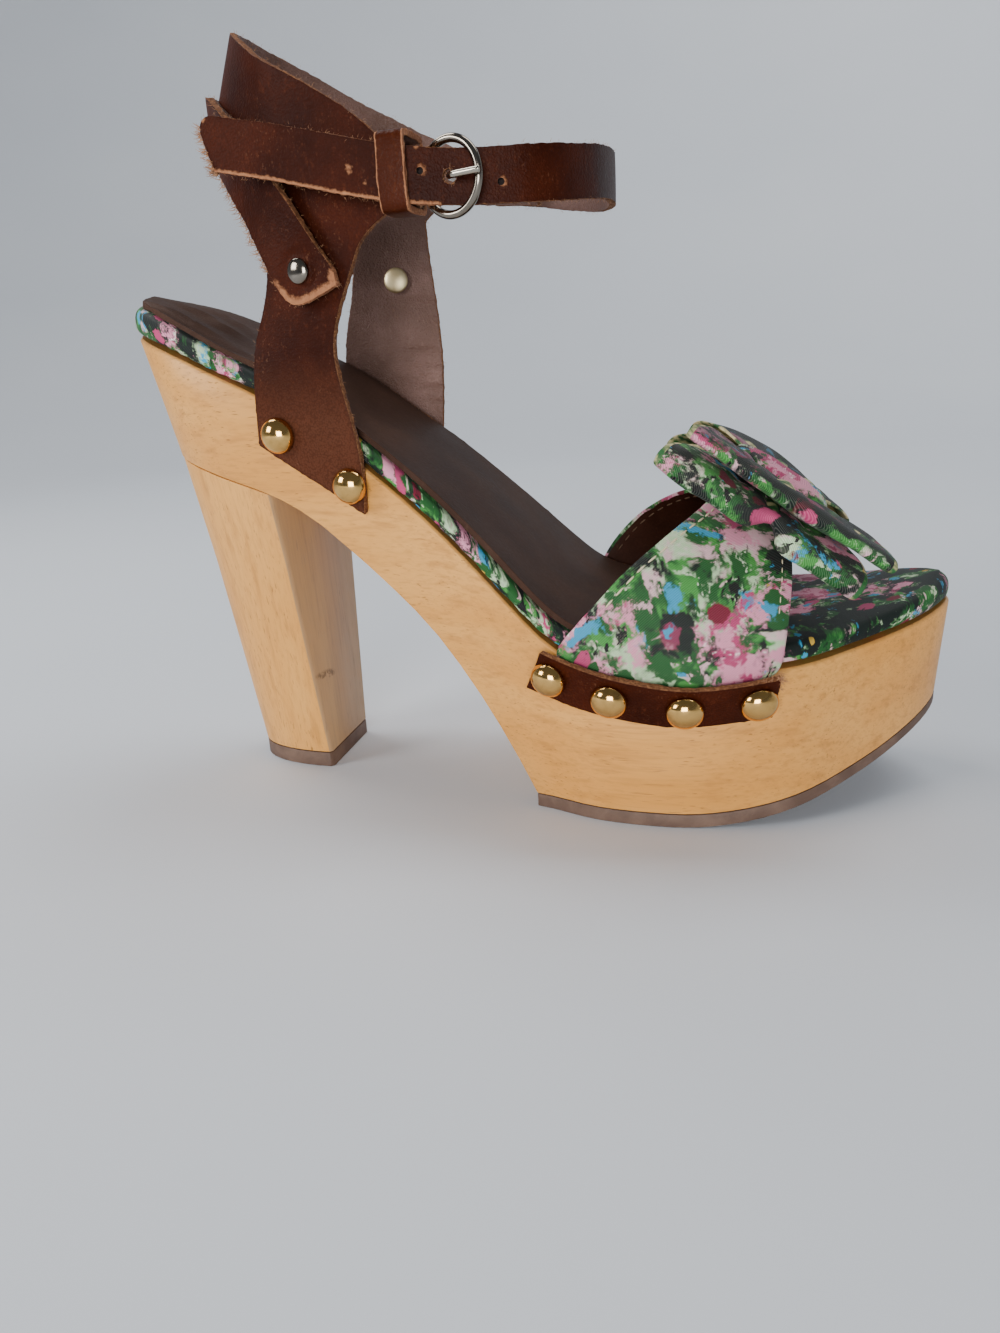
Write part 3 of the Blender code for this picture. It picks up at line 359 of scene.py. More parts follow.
LONG_GRAIN = (0.07, 1.0, 1.0), (0.0, math.radians(6.0), 0.0)
UPRIGHT_GRAIN = (1.0, 1.0, 0.06), (0.0, math.radians(-4.0), 0.0)
wood_sole_finish = paint_wood("wood along the foot", *LONG_GRAIN, WOOD_SHADE_AND_SCUFF)
wood_heel_finish = paint_wood("wood upright", *UPRIGHT_GRAIN, WOOD_SHADE_GREY, SCUFF_DARK)
print("wood finishes:", wood_sole_finish.name, "and", wood_heel_finish.name)

# %% [markdown]
# Leather is one hide with three sides to show: the polished grain side, the dull flesh side and the
# cut edge, where the lighter fibres come out. The grain side is darker and a little worn near its
# edges, so every leather mesh carries attributes: one for worn edges and for painted shade in creases,
# "raw" where the grain is gone, and "pale" for painted light low on the quarters.

# %% Leather
RAW_DEEP = tone("7C4C34")
RAW_PALE = tone("B07C58")
EDGE_DEEP = tone("583420")
EDGE_PALE = tone("90623F")
EDGE_STAIN = tone("522B18")
SCRATCH = tone("8A5E44")
HIDE_PAINTED_LIGHT = tone("5E3826")


def paint_leather(name, dark, mid, light, rough, relief, shine, wear):
    """One side of the hide: large patches, fine grain, worn edges, scratches, then bare fibres."""
    dark, mid, light = tone(dark), tone(mid), tone(light)
    paint = Paint(name)
    spot = paint.place()
    patches = paint.noise(paint.warp(spot, 60.0, 0.006), 55.0, 3.0, 0.5)
    fine = paint.noise(spot, 900.0, 3.0, 0.65)
    wrinkles = paint.noise(paint.place((1.0, 1.0, 0.3), (0.0, 0.6, 0.0)), 750.0, 3.0, 0.6)
    pebbles = paint.cells(paint.warp(spot, 700.0, 0.0006), 1900.0)
    scratches = paint.noise(paint.place((0.8, 0.8, 0.5), (0.0, 0.5, 0.0)), 2300.0, 2.0, 0.6)
    worn = paint.noise(paint.warp(spot, 90.0, 0.008), 85.0, 2.0, 0.5)
    near = paint.attribute("near_edge", 2)
    raw = paint.attribute("raw", 2)
    colour = paint.mix(paint.ramp(patches, 0.30, 0.72), dark, mid)
    # painted light low on the outer faces of the quarters
    colour = paint.mix(paint.attribute("pale", 2) * 0.6, colour, HIDE_PAINTED_LIGHT)
    colour = paint.mix(paint.ramp(fine * 0.5 + wrinkles * 0.5, 0.52, 0.72) * 0.35, colour, light)
    # darker near worn edges, and painted shade in the creases of the inner quarter
    colour = paint.mix(paint.ramp(near + 0.5 * (fine - 0.5), 0.55, 1.05) * 0.35, colour, dark)
    colour = paint.mix(paint.ramp(pebbles, 0.35, 0.75) * 0.35, colour, dark)
    scuffs = paint.ramp(scratches, 0.60, 0.72) * paint.ramp(worn, 0.42, 0.60)
    colour = paint.mix(scuffs * wear, colour, SCRATCH)
    bare = paint.ramp(raw + 0.9 * (fine - 0.5), 0.35, 0.75)
    colour = paint.mix(bare, colour, paint.mix(wrinkles, RAW_DEEP, RAW_PALE))
    gloss = rough + 0.16 * (patches - 0.5) + 0.16 * (fine - 0.5) + 0.3 * bare
    height = pebbles * 0.8 + fine * 0.9 + wrinkles * 0.7 - scuffs * wear + bare * fine * 3.0
    return paint.finish(Base_Color=colour, Roughness=gloss, Normal=paint.bump(height, relief),
                        Specular_IOR_Level=shine)


def paint_raw_edge():
    paint = Paint("cut leather edge")
    spot = paint.place()
    fibres = paint.noise(paint.warp(spot, 900.0, 0.0008), 1600.0, 3.0, 0.7)
    patches = paint.noise(spot, 160.0, 3.0)
    bare = paint.attribute("raw", 2)
    dull = paint.mix(paint.ramp(fibres, 0.35, 0.7), EDGE_DEEP, EDGE_PALE)
    fresh = paint.mix(paint.ramp(fibres, 0.35, 0.7), RAW_DEEP, RAW_PALE)
    colour = paint.mix(paint.ramp(bare, 0.2, 0.6), dull, fresh)
    colour = paint.mix(paint.ramp(patches, 0.45, 0.75) * 0.5, colour, EDGE_STAIN)
    return paint.finish(Base_Color=colour, Roughness=0.88, Normal=paint.bump(fibres, 0.35),
                        Specular_IOR_Level=0.2)


LEATHERS = {
    # side: darkest, middle and lightest colour, roughness, depth of the grain, shine, wear
    "grain": ("280C04", "3F1809", "63321C", 0.46, 0.10, 0.06, 0.20),
    "flesh": ("5E443A", "806259", "9A7C70", 0.45, 0.26, 0.24, 0.20),
    "sock": ("38261E", "483329", "584136", 0.52, 0.05, 0.06, 0.12),
    "lining": ("2C150C", "402216", "563224", 0.50, 0.04, 0.15, 0.10),
    "keeper": ("361406", "4E200B", "6C3A1A", 0.40, 0.08, 0.08, 0.12),
}
leathers = {side: paint_leather("leather " + side, *values) for side, values in LEATHERS.items()}
raw_edge = paint_raw_edge()
print("leather finishes:", len(leathers), "and the cut edge")

# %% [markdown]
# Rubber for the outsole and the heel tip is dull, brown and faintly speckled. The studs and rivets
# are pale gold plate, the buckle is nickel. Metal needs little colour work: a mirror shows the room,
# so only small changes of roughness tell that it has been handled. The buckle's ring and the outer
# rivet caps are made darker, which paints in the dark reflection of the room.

# %% Rubber, metal and thread
def paint_rubber():
    paint = Paint("brown rubber")
    spot = paint.place()
    speck = paint.noise(spot, 1400.0, 3.0, 0.7)
    scuff = paint.noise(paint.warp(spot, 80.0, 0.01), 110.0, 4.0, 0.65)
    colour = paint.mix(paint.ramp(scuff, 0.35, 0.75), tone("553F33"), tone("6F5748"))
    colour = paint.mix(paint.ramp(speck, 0.6, 0.8) * 0.4, colour, tone("8A7261"))
    return paint.finish(Base_Color=colour, Roughness=0.62 + 0.2 * (scuff - 0.5),
                        Normal=paint.bump(speck, 0.06))


def paint_metal(name, colour, worn, rough):
    paint = Paint(name)
    spot = paint.place()
    smear = paint.noise(spot, 260.0, 3.0, 0.6)
    pits = paint.ramp(paint.noise(spot, 1900.0, 2.0), 0.68, 0.78)
    shade = paint.mix(paint.ramp(smear, 0.4, 0.8) * 0.5 + pits * 0.3, colour, worn)
    return paint.finish(Base_Color=shade, Metallic=1.0, Roughness=rough + 0.12 * smear + 0.2 * pits)


def paint_thread(name, deep, pale):
    paint = Paint(name)
    twist = paint.noise(paint.place(), 2500.0, 2.0)
    return paint.finish(Base_Color=paint.mix(twist, deep, pale), Roughness=0.7)


def paint_floor():
    paint = Paint("pale floor")
    soft = paint.noise(paint.place(), 3.0, 2.0)
    colour = paint.mix(soft, tone("CACFD6"), tone("D5D9DE"))
    return paint.finish(Base_Color=colour, Roughness=0.75)


rubber = paint_rubber()
gold = paint_metal("pale gold", tone("DDB068"), tone("98723A"), 0.05)
gold_satin = paint_metal("satin gold", tone("EAD9AE"), tone("C9AE78"), 0.38)
nickel = paint_metal("pale nickel", tone("A9A294"), tone("7C7466"), 0.08)
# darker nickel: painted dark reflection on the buckle's ring and the outer rivet caps
nickel_painted_dark = paint_metal("dark nickel", tone("857D72"), tone("5C544A"), 0.07)
thread = paint_thread("cream thread", tone("B5A27C"), tone("E3D7B8"))
thread_brown = paint_thread("brown thread", tone("4A3424"), tone("6E523A"))
stage.data.materials.append(paint_floor())
print("rubber, gold, nickel, thread and floor ready")

# %% [markdown]
# The cloth is a fine twill with a loose painted print of leaves and blossom: pale ground, green and
# dark green leaves, pink petals with deeper middles, a few sky blue and crimson dabs and short black
# strokes. Each layer is a noise or a field of cells cut at a ragged threshold and laid over the last
# one, as a painter would. The print and the twill lines follow the attribute "cloth", which gives
# each point its place on the flat cloth in metres; the twill lines carry painted shade in their
# grooves and painted highlight on their ridges. The attribute "dark" is the share of dark leaves,
# and above 0.9 it paints shade as well.

# %% Printed twill
TWILL_PITCH = 0.42 * MM
TWILL_TURN = math.radians(52.0)
CLOTH_GROUND = tone("B0CDA0")
CLOTH_WHITE_AND_RIDGE_HIGHLIGHT = tone("F2E8DE")
LEAF = tone("175220")
LEAF_LIGHT = tone("3F8A3A")
LEAF_DARK_AND_SHADE = tone("071410")
BLUSH = tone("E0A6B8")
PETAL = tone("DB8FA6")
PETAL_DEEP = tone("B03C68")
PETAL_CORE = tone("6E0B28")
SKY_DAB = tone("2F92B8")
SUN_DAB = tone("CFA83E")
INK_AND_GROOVE_SHADE = tone("050708")


def twill_lines(paint, cloth):
    """Even lines across the cloth, from -1 to 1."""
    across = (math.cos(TWILL_TURN), math.sin(TWILL_TURN), 0.0)
    run = paint.node("ShaderNodeVectorMath", {"operation": "DOT_PRODUCT"}, 1, Vector=cloth,
                     Vector_001=across)
    return paint.node("ShaderNodeMath", {"operation": "SINE"}, Value=run * (2 * math.pi / TWILL_PITCH))


def paint_print(name, twill, few_blooms, crumple):
    """The print: strength of the twill lines, noise level above which it blooms, depth of wrinkles."""
    paint = Paint(name)
    cloth = paint.attribute("cloth", 1)
    dark = paint.attribute("dark", 2)
    ragged = paint.warp(paint.warp(cloth, 55.0, 0.012), 420.0, 0.0022)
    fleck = paint.noise(cloth, 900.0, 4.0, 0.72)
    rough_edge = (fleck - 0.5) * 0.22

    def moved_by(shift):
        """Another part of the flat cloth, so that no two layers share their outlines."""
        return paint.node("ShaderNodeVectorMath", {"operation": "ADD"}, Vector=ragged, Vector_001=shift)

    def patch(scale, low, shift, soft=0.045):
        """Ragged patches where a noise lies above a level."""
        return paint.ramp(paint.noise(moved_by(shift), scale, 3.0, 0.55) + rough_edge, low, low + soft)

    def dabs(scale, radius, share, shift):
        """Round dabs in some of the cells of a field."""
        moved = moved_by(shift)
        distance = paint.cells(moved, scale)
        choice = paint.node("ShaderNodeSeparateColor", None, 0, Color=paint.cells(moved, scale, output=1))
        inside = 1.0 - paint.ramp(distance + rough_edge, radius, radius + 0.05)
        return inside * paint.ramp(choice, 1.0 - share, 1.02 - share)

    colour = paint.mix(paint.ramp(fleck, 0.45, 0.75) * 0.8, CLOTH_GROUND, CLOTH_WHITE_AND_RIDGE_HIGHLIGHT)
    colour = paint.mix(patch(70.0, 0.45, (0.8, 0.6, 0.2), 0.10) * 0.8, colour, BLUSH)
    leaf = paint.mix(patch(170.0, 0.50, (0.6, 0.5, 0.0), 0.10), LEAF, LEAF_LIGHT)
    gaps = patch(420.0, 0.58, (0.4, 0.4, 0.7), 0.08)
    leaves = patch(125.0, 0.42 - 0.05 * dark, (0.0, 0.0, 0.0), 0.08) * (1.0 - 0.9 * gaps)
    colour = paint.mix(leaves, colour, leaf)
    colour = paint.mix(patch(95.0, 0.59 - 0.12 * dark, (0.2, 0.9, 0.1), 0.07), colour, LEAF_DARK_AND_SHADE)
    petal = paint.mix(patch(150.0, 0.53, (0.3, 0.1, 0.0)), PETAL, PETAL_DEEP)
    petal = paint.mix(patch(260.0, 0.65, (0.1, 0.8, 0.0)), petal, CLOTH_WHITE_AND_RIDGE_HIGHLIGHT)
    bloom = patch(46.0, few_blooms, (0.7, 0.2, 0.4))
    colour = paint.mix(bloom, colour, petal)
    colour = paint.mix(dabs(105.0, 0.30, 0.24, (0.1, 0.4, 0.2)), colour, PETAL_DEEP)
    colour = paint.mix(dabs(150.0, 0.30, 0.16, (0.5, 0.7, 0.3)), colour, LEAF)
    colour = paint.mix(patch(110.0, 0.625, (0.9, 0.3, 0.6)), colour, SKY_DAB)
    colour = paint.mix(dabs(130.0, 0.30, 0.13, (0.4, 0.2, 0.8)), colour, PETAL_CORE)
    colour = paint.mix(dabs(170.0, 0.22, 0.05, (0.2, 0.6, 0.5)), colour, SUN_DAB)
    strokes = paint.node("ShaderNodeMapping", Vector=ragged, Rotation=(0.0, 0.0, 0.5),
                         Scale=(1.0, 0.35, 1.0))
    ink = paint.ramp(paint.noise(strokes, 330.0, 3.0, 0.6) + rough_edge, 0.585, 0.615)
    ink = ink * paint.ramp(paint.noise(cloth, 60.0, 1.0), 0.44, 0.56) * (1.0 - 0.8 * bloom)
    colour = paint.mix(ink, colour, INK_AND_GROOVE_SHADE)
    # painted shade where "dark" is above 0.9: on top of the toe and of the upper bow ring
    colour = paint.mix(paint.ramp(dark, 0.9, 1.7) * 0.6, colour, LEAF_DARK_AND_SHADE)
    lines = twill_lines(paint, cloth)
    # painted shade in the twill's grooves and painted highlight on its ridges
    colour = paint.mix(paint.ramp(lines, -0.9, 1.0) * (0.22 * twill), colour, INK_AND_GROOVE_SHADE)
    colour = paint.mix(paint.ramp(0.0 - lines, 0.2, 1.0) * (0.05 * twill), colour, CLOTH_WHITE_AND_RIDGE_HIGHLIGHT)
    stretched = paint.node("ShaderNodeMapping", Vector=cloth, Scale=(1.0, 0.25, 1.0))
    wrinkles = paint.noise(stretched, 230.0, 2.0, 0.5) * crumple
    relief = paint.bump(lines * (0.5 * twill) + fleck * 0.3 + wrinkles, 0.055)
    return paint.finish(Base_Color=colour, Roughness=0.66, Normal=relief, Sheen_Weight=0.04,
                        Sheen_Roughness=0.5, Specular_IOR_Level=0.22)


PRINTS = {
    # where the cloth is: twill, noise level of the blossom, crumple
    "vamp": (1.0, 0.47, 2.0),
    "bow": (1.1, 0.55, 14.0),
    "insole": (0.25, 0.56, 3.0),
}
cloth_vamp, cloth_bow, cloth_pad = (paint_print("printed twill of the " + where, *values)
                                    for where, values in PRINTS.items())
print("printed twill nodes:", len(cloth_vamp.node_tree.nodes))

# %% [markdown]
# ## From solid to piece
# A solid arrives as loose triangles. A copy is merged and its triangles are paired into quads, so
# that Bevel and Subdivision Surface can round it. Faces that meet in soft edges form one side of
# a sheet: the two largest sides are the outer and the inner face, and what is left is the cut edge.

# %% Copy a solid
OUTER, INNER, EDGE = 0, 1, 2      # material slots of a sheet
MERGE = 0.02 * MM
QUAD_BEND = math.radians(35.0)    # how far two triangles may bend or skew and still form a quad
QUAD_SKEW = math.radians(70.0)


def copy_of(node):
    """A solid's shape, merged and with its triangles paired into quads."""
    shape = bmesh.new()
    shape.from_mesh(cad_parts[node].data)
    bmesh.ops.remove_doubles(shape, verts=shape.verts, dist=MERGE)
    for face in shape.faces:
        face.material_index = OUTER
    bmesh.ops.join_triangles(shape, faces=shape.faces[:], angle_face_threshold=QUAD_BEND,
                             angle_shape_threshold=QUAD_SKEW)
    shape.normal_update()
    return shape


sample = copy_of("vamp")
print("vamp:", len(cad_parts["vamp"].data.polygons), "triangles become", len(sample.faces), "faces")

# %% Sides of a sheet
CORNER = math.radians(50.0)


def sides_of(shape):
    """Lists of faces that meet in soft edges, the largest first."""
    seen = set()
    sides = []
    for start in shape.faces:
        if start in seen:
            continue
        seen.add(start)
        waiting = [start]
        side = []
        while waiting:
            face = waiting.pop()
            side.append(face)
            soft = [e for e in face.edges if len(e.link_faces) == 2 and e.calc_face_angle() < CORNER]
            for other in {f for e in soft for f in e.link_faces} - seen:
                seen.add(other)
                waiting.append(other)
        sides.append(side)
    return sorted(sides, key=lambda side: -sum(f.calc_area() for f in side))


def paint_sides(shape, middle):
    """Mark the outer face, the inner face and the cut edge of a sheet around a middle point."""
    sides = sides_of(shape)
    middle = Vector(middle) * MM

    def outwards(side):
        return sum(f.normal.dot(f.calc_center_median() - middle) * f.calc_area() for f in side)

    outer, inner = sorted(sides[:2], key=outwards, reverse=True)
    for face in shape.faces:
        face.material_index = EDGE
    for face in outer:
        face.material_index = OUTER
    for face in inner:
        face.material_index = INNER
    return shape


print("faces on the vamp's sides and edges:", [len(side) for side in sides_of(sample)])
sample.free()

# %% From shape to piece
def settle(piece):
    """Turn the modified object into a plain mesh."""
    graph = bpy.context.evaluated_depsgraph_get()
    mesh = bpy.data.meshes.new_from_object(piece.evaluated_get(graph))
    piece.modifiers.clear()
    piece.data = mesh
    mesh.name = piece.name


def make_piece(shape, name, finishes, bevel=0.0, levels=0, segments=2):
    """A finished object from a bmesh: rounded edges, then a finer mesh."""
    mesh = bpy.data.meshes.new(name)
    shape.to_mesh(mesh)
    shape.free()
    for finish in finishes:
        mesh.materials.append(finish)
    piece = bpy.data.objects.new(name, mesh)
    scene.collection.objects.link(piece)
    if bevel:
        rounding = piece.modifiers.new("rounding", "BEVEL")
        rounding.width = bevel * MM
        rounding.segments = segments
        rounding.limit_method = "ANGLE"
        rounding.angle_limit = CORNER
    if levels:
        finer = piece.modifiers.new("finer", "SUBSURF")
        finer.levels = levels
        finer.render_levels = levels
    settle(piece)
    piece.data.shade_smooth()
    return piece


def stand_for(piece, slot, *nodes):
    """The piece takes the place of these solids."""
    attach(piece, "root")
    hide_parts(*nodes)
    print(piece.name, "faces:", len(piece.data.polygons))
    return piece


print("edges sharper than", round(math.degrees(CORNER)), "degrees are rounded")

# %% [markdown]
# The next helpers read and move the points of a mesh as arrays, which is far quicker than one point
# at a time. They also measure distances, give soft random waves and write attributes for the paints.

# %% Points and attributes
SEED_STEP = (7.3, 3.1, 5.7)      # how far apart the waves of two seeds lie in the noise


def points_of(piece):
    points = np.empty(len(piece.data.vertices) * 3)
    piece.data.vertices.foreach_get("co", points)
    return points.reshape(-1, 3)


def normals_of(piece):
    normals = np.empty(len(piece.data.vertices) * 3)
    piece.data.vertex_normals.foreach_get("vector", normals)
    return normals.reshape(-1, 3)


def move_points(piece, points):
    piece.data.vertices.foreach_set("co", points.ravel())
    piece.data.update()


def set_attribute(piece, name, values):
    kind, field = ("FLOAT_VECTOR", "vector") if values.ndim == 2 else ("FLOAT", "value")
    made = piece.data.attributes.new(name, kind, "POINT")
    made.data.foreach_set(field, values.astype(np.float32).ravel())


def wobble(points, size, depth, seed):
    """Smooth random heights in metres, with waves of a size and depth in millimetres."""
    shift = Vector([step * seed for step in SEED_STEP])
    return np.array([noise.noise(Vector(p) / (size * MM) + shift) for p in points]) * depth * MM


def distance_to(points, spots):
    """Distance in millimetres from each point to the nearest of the spots."""
    tree = kdtree.KDTree(len(spots))
    for index, spot in enumerate(spots):
        tree.insert(spot, index)
    tree.balance()
    return np.array([tree.find(p)[2] for p in points]) / MM


def surface_of(piece):
    """The piece's faces as something that rays can hit."""
    polygons = [list(p.vertices) for p in piece.data.polygons]
    return bvhtree.BVHTree.FromPolygons([tuple(p) for p in points_of(piece)], polygons)


print("points of the sole's solid:", len(points_of(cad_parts["wood_sole"])))

# %% [markdown]
# Cut leather is rough along its edge and darker beside it. One helper finds the edge and ages it.

# %% Cut edges
EDGE_WAVE = 1.3       # size of the unevenness along a cut edge in millimetres
EDGE_SEED = 1


def edge_points(piece):
    """Numbers of the points on the cut edge."""
    used = {v for face in piece.data.polygons if face.material_index == EDGE for v in face.vertices}
    return sorted(used)


def age_leather(piece, reach, rough, crease_shade=0.0):
    """Say how near the cut edge each point is or how much painted shade its crease gets, and make the cut
    edge uneven.
    """
    points = points_of(piece)
    edge = edge_points(piece)
    near = np.clip(1.0 - distance_to(points, points[edge]) / reach, 0.0, 1.0)
    set_attribute(piece, "near_edge", np.maximum(near, np.minimum(crease_shade, 1.0)))
    points[edge] += normals_of(piece)[edge] * wobble(points[edge], EDGE_WAVE, rough, EDGE_SEED)[:, None]
    move_points(piece, points)


print("size of the unevenness along a cut edge in mm:", EDGE_WAVE)

# %% [markdown]
# ## Wood sole, heel and rubber
# These are hard pieces whose solids already have the right shape. They only need their edges eased,
# because light catches on a rounded edge and a knife-sharp one looks false. Shade is painted on the
# wood in a narrow line along the insole, and darker and greyer on the flat front of the heel.

# %% Sole, heel, outsole and heel tip
SOLE_EASE = 0.5        # width of an eased edge in millimetres
EASE = 0.4
EASE_STEPS = 3
SHARP = math.radians(32.0)
SEAM_SHADE = 0.70      # how dark the painted shade is where the wood meets the insole
SEAM_REACH = 1.2       # and how far from it in millimetres
FRONT_SHADE = 0.45     # how much painted shade the flat front of the heel gets


def make_hard_piece(node, slot, finish, bevel=EASE):
    piece = make_piece(copy_of(node), node + "_finished", [finish], bevel, 0, EASE_STEPS)
    piece.data.set_sharp_from_angle(angle=SHARP)
    return stand_for(piece, slot, node)


def shade_near(piece, node, reach):
    """Painted shade on the points that lie close to a solid, in the groove where the two meet."""
    solid = surface_of(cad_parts[node])
    away = np.array([solid.find_nearest(Vector(p))[3] for p in points_of(piece)])
    set_attribute(piece, "shade", SEAM_SHADE * np.clip(1.0 - away / (reach * MM), 0.0, 1.0))


def shade_front(piece):
    """Painted shade: the flat front of the heel is darker and greyer than its round back."""
    ahead = normals_of(piece)[:, 0]
    set_attribute(piece, "shade", FRONT_SHADE * np.clip(2.0 * ahead - 0.4, 0.0, 1.0))


shade_near(make_hard_piece("wood_sole", "wood", wood_sole_finish, SOLE_EASE), "insole", SEAM_REACH)
shade_front(make_hard_piece("heel_block", "wood", wood_heel_finish))
make_hard_piece("outsole", "rubber", rubber)
make_hard_piece("heel_tip", "rubber", rubber)

# %% [markdown]
# ## Insole and sock
# The insole is padding wrapped in the printed cloth: it swells between the wood and the sock. Two
# levels of subdivision make it round, and a slow wave keeps it from looking machined. The cloth gets
# an attribute with its place on the flat print and one with the share of dark leaves, which also
# paints shade on top of the toe, under the bow.

# %% Insole
PAD_WAVE = 9.0, 0.18, 4       # size and depth in millimetres, seed
PAD_PRINT = 1.5      # the print looks finer where the cloth wraps the narrow pad
PAD_SHIFT = 0.083    # which part of the cloth lies on the pad
PAD_LEAVES_AND_SHADE_TOP = 1.3   # more dark leaves and painted shade on top of the toe
PAD_DARK_SIDE = 0.35
PAD_DARK_HEEL = 0.75
PAD_TOE = 0.045      # metres ahead of the middle
PAD_HEEL = -0.075


def cloth_over_pad(points):
    """The cloth lies flat on top and turns down over the sides."""
    along = points[:, 0] + 0.4 * points[:, 2] + PAD_SHIFT
    return np.column_stack([along, points[:, 1] - points[:, 2], np.zeros(len(points))]) * PAD_PRINT


def make_insole():
    piece = make_piece(copy_of("insole"), "insole_padded", [cloth_pad], 0.0, 2)
    points = points_of(piece)
    points += normals_of(piece) * wobble(points, *PAD_WAVE)[:, None]
    move_points(piece, points)
    set_attribute(piece, "cloth", cloth_over_pad(points))
    # painted shade and more dark leaves on top of the toe
    toe = (points[:, 0] > PAD_TOE) * (0.5 + 0.5 * np.clip(normals_of(piece)[:, 2], 0.0, 1.0))
    heel = points[:, 0] < PAD_HEEL
    dark = PAD_DARK_SIDE + (PAD_LEAVES_AND_SHADE_TOP - PAD_DARK_SIDE) * toe + (PAD_DARK_HEEL - PAD_DARK_SIDE) * heel
    set_attribute(piece, "dark", dark)
    return stand_for(piece, "fabric", "insole")


make_insole()

# %% [markdown]
# The leather sock lies on the insole with a cut edge. The heel of the foot has pushed it forward, so
# it has a few long folds. They are listed one by one: each is a line seen from above, and the leather
# rises or sinks beside that line by a bell curve. Subdivision gives enough points to carry them.

# %% Sock
SOCK_WAVE = 13.0, 0.25, 6
SOCK_EASE = 0.3
SOCK_REACH = 3.0
SOCK_ROUGH = 0.15
SOCK_MIDDLE = (-40.0, 0.0, -500.0)      # far below, so that the upper face counts as the outer one
SOCK_CREASES = (
    # start and end seen from above, depth and half width in millimetres; a ridge has a depth below 0
    ((-110.0, -9.0), (-66.0, -20.0), -1.0, 1.5),
    ((-110.0, -12.0), (-66.0, -23.0), 0.4, 1.4),
    ((-106.0, 3.0), (-70.0, -8.0), -1.0, 1.6),
    ((-106.0, 0.0), (-70.0, -11.0), 0.4, 1.5),
    ((-100.0, 12.0), (-76.0, 4.0), -0.8, 1.6),
)


def creases_at(flat, creases):
    """Depth of long soft creases at points seen from one side, in metres."""
    depth = np.zeros(len(flat))
    for start, end, deep, width in creases:
        start, end = np.array(start), np.array(end)
        run = end - start
        share = np.clip((flat - start) @ run / (run @ run), 0.0, 1.0)
        away = np.linalg.norm(flat - start - share[:, None] * run, axis=1)
        depth += deep * np.sin(np.pi * share) * np.exp(-(away / width) ** 2)
    return depth * MM


def make_sock():
    shape = paint_sides(copy_of("sock"), SOCK_MIDDLE)
    finishes = [leathers["sock"], leathers["sock"], raw_edge]
    piece = make_piece(shape, "sock_leather", finishes, SOCK_EASE, 2)
    points = points_of(piece)
    sink = creases_at(points[:, :2] / MM, SOCK_CREASES)
    points += normals_of(piece) * (wobble(points, *SOCK_WAVE) - sink)[:, None]
    move_points(piece, points)
    age_leather(piece, SOCK_REACH, SOCK_ROUGH)
    return stand_for(piece, "sock", "sock")


make_sock()

# %% [markdown]
# ## Leather straps
# The quarters with the ankle band, the strap round the heel, the buckled strap, its keeper and the
# two nailed strips are all cut from the same thick hide, so one function dresses them all. It waves
# the hide a little and presses it in round the rivets. The inner quarter has short creases along its
# front edge, given one by one, with painted shade in them, and light is painted on the outer faces of
# both quarters low down.

# %% Creases and dents
QUARTER_CREASES = (
    # start and end seen from the outer side, depth and half width, all in millimetres
    ((-39.0, 143.4), (-28.0, 142.6), 0.55, 0.8),
    ((-48.0, 135.6), (-27.0, 134.9), 0.65, 0.8),
    ((-39.0, 129.6), (-27.0, 128.6), 0.55, 0.7),
    ((-47.0, 120.8), (-27.0, 120.0), 0.70, 0.8),
    ((-39.5, 115.6), (-27.0, 114.8), 0.55, 0.7),
    ((-42.0, 109.8), (-27.0, 109.0), 0.70, 0.8),
    ((-38.5, 105.2), (-27.0, 104.6), 0.55, 0.7),
)
CREASE_SHADE_DEPTH = 0.32        # depth at which the painted shade in a crease is as dark as a worn edge
INNER_QUARTER = 20.0      # the inner quarter lies past this, from the middle of the shoe
PAINTED_LIGHT_LOW = 104.0          # painted light on the quarters grows from the upper to the lower of these heights
PAINTED_LIGHT_HIGH = 122.0
DENT = 0.35               # the leather is pressed in round each rivet
DENT_RADIUS = 4.0
DENT_WIDTH = 1.1
RIVETS = [sum(np.array(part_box(node))) / 2 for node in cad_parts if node.startswith("rivet_")]


def press_round_rivets(points, normals):
    for rivet in RIVETS:
        away = distance_to(points, [rivet])
        press = DENT * np.exp(-((away - DENT_RADIUS) / DENT_WIDTH) ** 2)
        points -= normals * (press * MM)[:, None]


def crease_quarter(points):
    """Push the inner quarter out along its creases; the result says how deep they are."""
    fold = creases_at(points[:, [0, 2]] / MM, QUARTER_CREASES) * (points[:, 1] > INNER_QUARTER * MM)
    points[:, 1] += fold
    return fold


def paint_light_on_quarters(piece, points, normals):
    """Painted light: the outer faces get lighter towards the sole, where more light falls on them."""
    pale = (PAINTED_LIGHT_HIGH - points[:, 2] / MM) / (PAINTED_LIGHT_HIGH - PAINTED_LIGHT_LOW)
    outside = normals[:, 1] * points[:, 1] > 0
    set_attribute(piece, "pale", np.clip(pale, 0.0, 1.0) * outside)


print("rivets:", len(RIVETS), "creases:", len(QUARTER_CREASES))

# %% Straps, quarters and strips
ANKLE_MIDDLE = (-38.0, 1.6, 160.0)
FOREFOOT_MIDDLE = (35.0, 1.6, 40.0)
KEEPER_MIDDLE = (-17.4, -35.2, 158.2)
HIDE_WAVE = 14.0, 0.22, 2
HIDE_EASE = 0.3
HIDE_REACH = 2.6          # how far the worn look reaches from a cut edge
HIDE_ROUGH = 0.28         # how uneven a cut edge is


